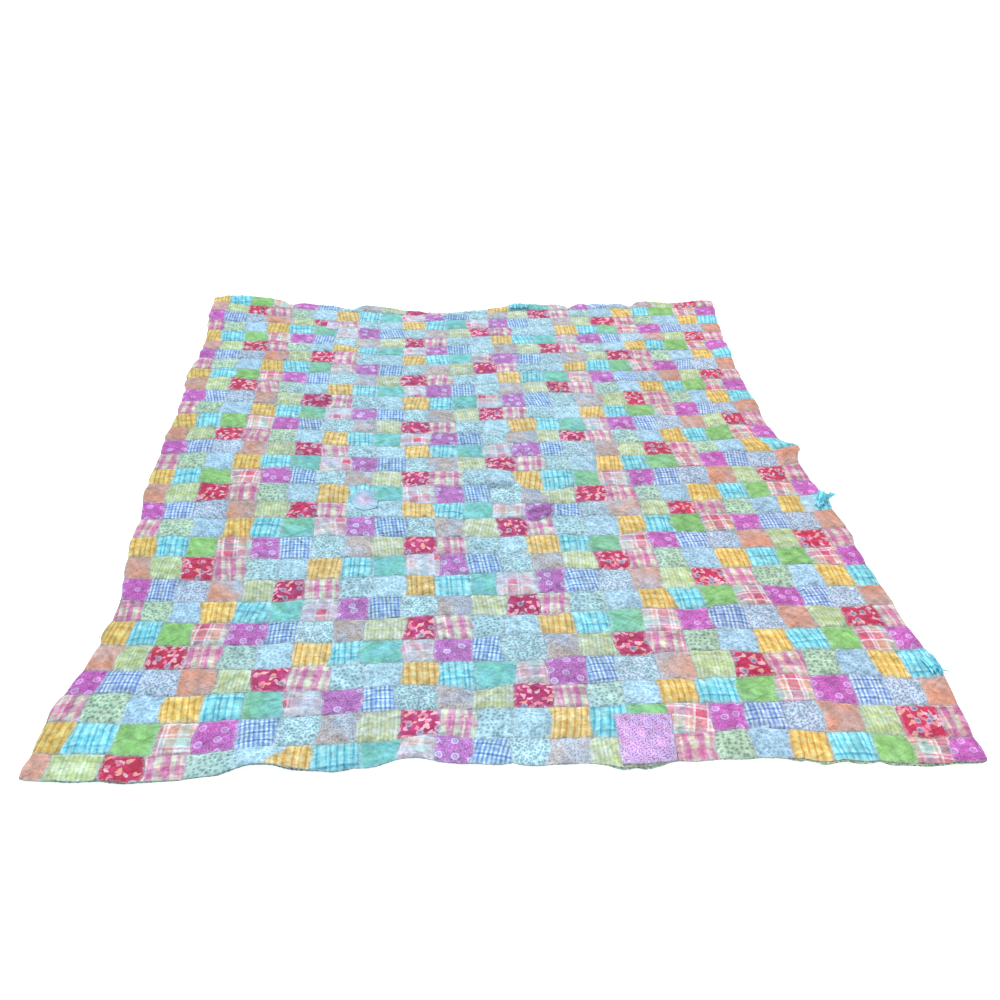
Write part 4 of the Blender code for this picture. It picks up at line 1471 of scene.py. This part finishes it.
mends = [mend(plan) for plan in MENDS]

# %% [markdown]
# ## The torn squares
#
# Three turquoise squares at the edges have torn. Their loose cloth has bunched into soft pleats that fan
# out, and its torn end has frayed into threads. A simulation could crumple them, but their pleats would
# fall as they liked. So each is a grid folded by a wave, with an uneven end, and the threads are thin
# tapered strips that start from that end.

# %% Bunch the torn cloth
# A torn square: its name and node, how wide it was cut, its middle, how wide it is now at its near end, its
# length, its pleats and their height, how many times wider it is at its far end, its turn in degrees, which
# end is torn (1 is the far one), how ragged that is, and its threads.
Torn = namedtuple("Torn", "name node cut across along width length pleats height fan turn torn_end fray "
                          "threads")
# A loose thread: where it starts, as a share of the torn end, its length, and its way in degrees.
Loose = namedtuple("Loose", "over length degrees")
TORN_SQUARES = (
    Torn("torn_ruffle", "torn_square", 0.0735, 0.854, 0.850, 0.015, 0.078, 3.5, 0.010, 3.20, -39.0, 1, 0.05,
         (Loose(0.1, 0.008, 20), Loose(0.45, 0.010, -10), Loose(0.7, 0.012, -40), Loose(0.95, 0.009, -70))),
    Torn("front_ruffle", "frayed_front", 0.040, 0.854, 0.244, 0.028, 0.044, 2.5, 0.005, 1.15, 12.0, 0, 0.12,
         (Loose(1.0, 0.030, 110), Loose(0.85, 0.012, 130), Loose(0.6, 0.009, 170),
          Loose(0.95, 0.014, 110))),
    Torn("far_tuft", "frayed_far", 0.085, 0.184, 2.146, 0.072, 0.026, 3.5, 0.008, 0.90, 4.0, 1, 0.12,
         (Loose(0.3, 0.008, 10), Loose(0.55, 0.010, -15), Loose(0.8, 0.008, 5))),
)
TORN_CELLS = (60, 40)
TORN_THICK = 0.0005
TORN_LIFT = 0.0008
TORN_BRIDGE = 2               # cells, how far about a torn square bridges the troughs
TORN_CREASE = 0.0008
PLEAT_WANDER = 0.16           # of a pleat
PLEAT_POWER = 0.8             # under 1, the crests are rounder than a plain wave's
PLEAT_END = 0.35              # how high a pleat still is at its ends
PLEAT_SWAY = 0.003            # how far the crests lean over, in metres
THREAD_CELLS = 12
THREAD_WIDTH = 0.0024
THREAD_TAPER, THREAD_SINK = 0.6, 0.45     # how much narrower and lower a thread is at its tip


def thread_cloth():
    """Bleached yarn."""
    cloth, _, printed, squared = new_cloth("pale_yarn")
    return finish_cloth(cloth, printed, squared, dye(176, 214, 226), NO_SHIFT, 0.2)


pale_thread = thread_cloth()


def torn_strip(name, cells, flat_x, flat_y, z, plan, maps, cloth):
    """A grid of torn cloth, laid in its place."""
    made, _, _ = flat_grid(*cells)
    made.name = name
    across, along = turned(flat_x, flat_y, plan.turn)
    x, y = lay(plan.across + across, plan.along + along)
    place_points(made, x, y, z)
    map_points(made.data, "print", *maps)
    map_seamless(made.data)
    made.data.materials.append(cloth)
    bpy.ops.object.shade_smooth()
    return made


def loose_thread(plan, number, thread, start_x, start_y, start_z):
    """A thin tapered thread, which leaves the torn end and sinks a little."""
    s, t = np.meshgrid(np.linspace(-0.5, 0.5, 2), np.linspace(0, 1, THREAD_CELLS + 1))
    way = radians(thread.degrees) + 0.5 * t * np.sin(3.0 * t + number)
    half = s * THREAD_WIDTH * (1 - THREAD_TAPER * t)
    flat_x = start_x + thread.length * t * np.sin(way) + half * np.cos(way)
    flat_y = start_y + thread.length * t * np.cos(way) - half * np.sin(way)
    z = start_z * (1 - THREAD_SINK * t ** 2) + 0 * s
    maps = s * 0.05, t * 0.3
    return torn_strip(f"{plan.name}_thread", (1, THREAD_CELLS), flat_x, flat_y, z, plan, maps, pale_thread)


def ruffle(plan):
    """Torn cloth, bunched into pleats, with a frayed end and a few loose threads."""
    cells_over, cells_down = TORN_CELLS
    s, t = np.meshgrid(np.linspace(0, 1, cells_over + 1), np.linspace(0, 1, cells_down + 1))
    over, down = s - 0.5, t - 0.5
    to_end = t if plan.torn_end else 1 - t
    spread = 1 + (plan.fan - 1) * (down + 0.5)
    phase = plan.pleats * s + PLEAT_WANDER * unevenness(3 * s, 2 * t, 61)
    ripple = (0.5 - 0.5 * np.cos(2 * pi * phase)) ** PLEAT_POWER
    droop = PLEAT_END + (1 - PLEAT_END) * np.cos(pi * down)
    frayed = unevenness(9 * s, 0 * s, 62) + 0.8 * unevenness(27 * s, 0 * s, 64)
    frayed = plan.fray * frayed * np.clip(3 * to_end - 2, 0, 1) * (1 if plan.torn_end else -1)
    flat_x = plan.width * over * spread + PLEAT_SWAY * np.sin(2 * pi * phase + 0.6) * t
    flat_y = plan.length * (down * (1 + 0.12 * np.sin(5 * over)) + frayed)
    across, along = turned(flat_x, flat_y, plan.turn)
    x, y = lay(plan.across + across, plan.along + along)
    resting = bridged(quilt_height(x, y), TORN_BRIDGE)
    resting = np.maximum(resting, np.median(resting[resting > 0]))
    z = resting + TORN_LIFT + TORN_THICK + plan.height * ripple * droop * spread / spread.max()
    z += TORN_CREASE * unevenness(20 * s, 26 * t, 63)
    maps = plan.cut / PATCH * over, plan.length / PATCH * down
    made = torn_strip(plan.name, TORN_CELLS, flat_x, flat_y, z, plan, maps, fabrics[1])
    end = cells_down if plan.torn_end else 0
    parts = [made]
    for number, thread in enumerate(plan.threads):
        start = end, round(thread.over * cells_over)
        parts.append(loose_thread(plan, number, thread, flat_x[start], flat_y[start], z[start]))
    made = joined(parts)
    use_modifier(made, "SOLIDIFY", thickness=TORN_THICK, offset=-1.0)
    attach(made, "root")
    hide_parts(plan.node)
    print(plan.name, [round(float(side), 4) for side in (z.min(), z.max())])
    return made


ruffles = [ruffle(plan) for plan in TORN_SQUARES]

# %% [markdown]
# ## Count the soft pieces, and finish
#
# Each band of the top, the backing, the mends and the ruffles is a sheet of cloth, cut to a flat size
# before it was laid.


print(1 + len(bands) + len(mends) + len(ruffles), "sheets of cloth")
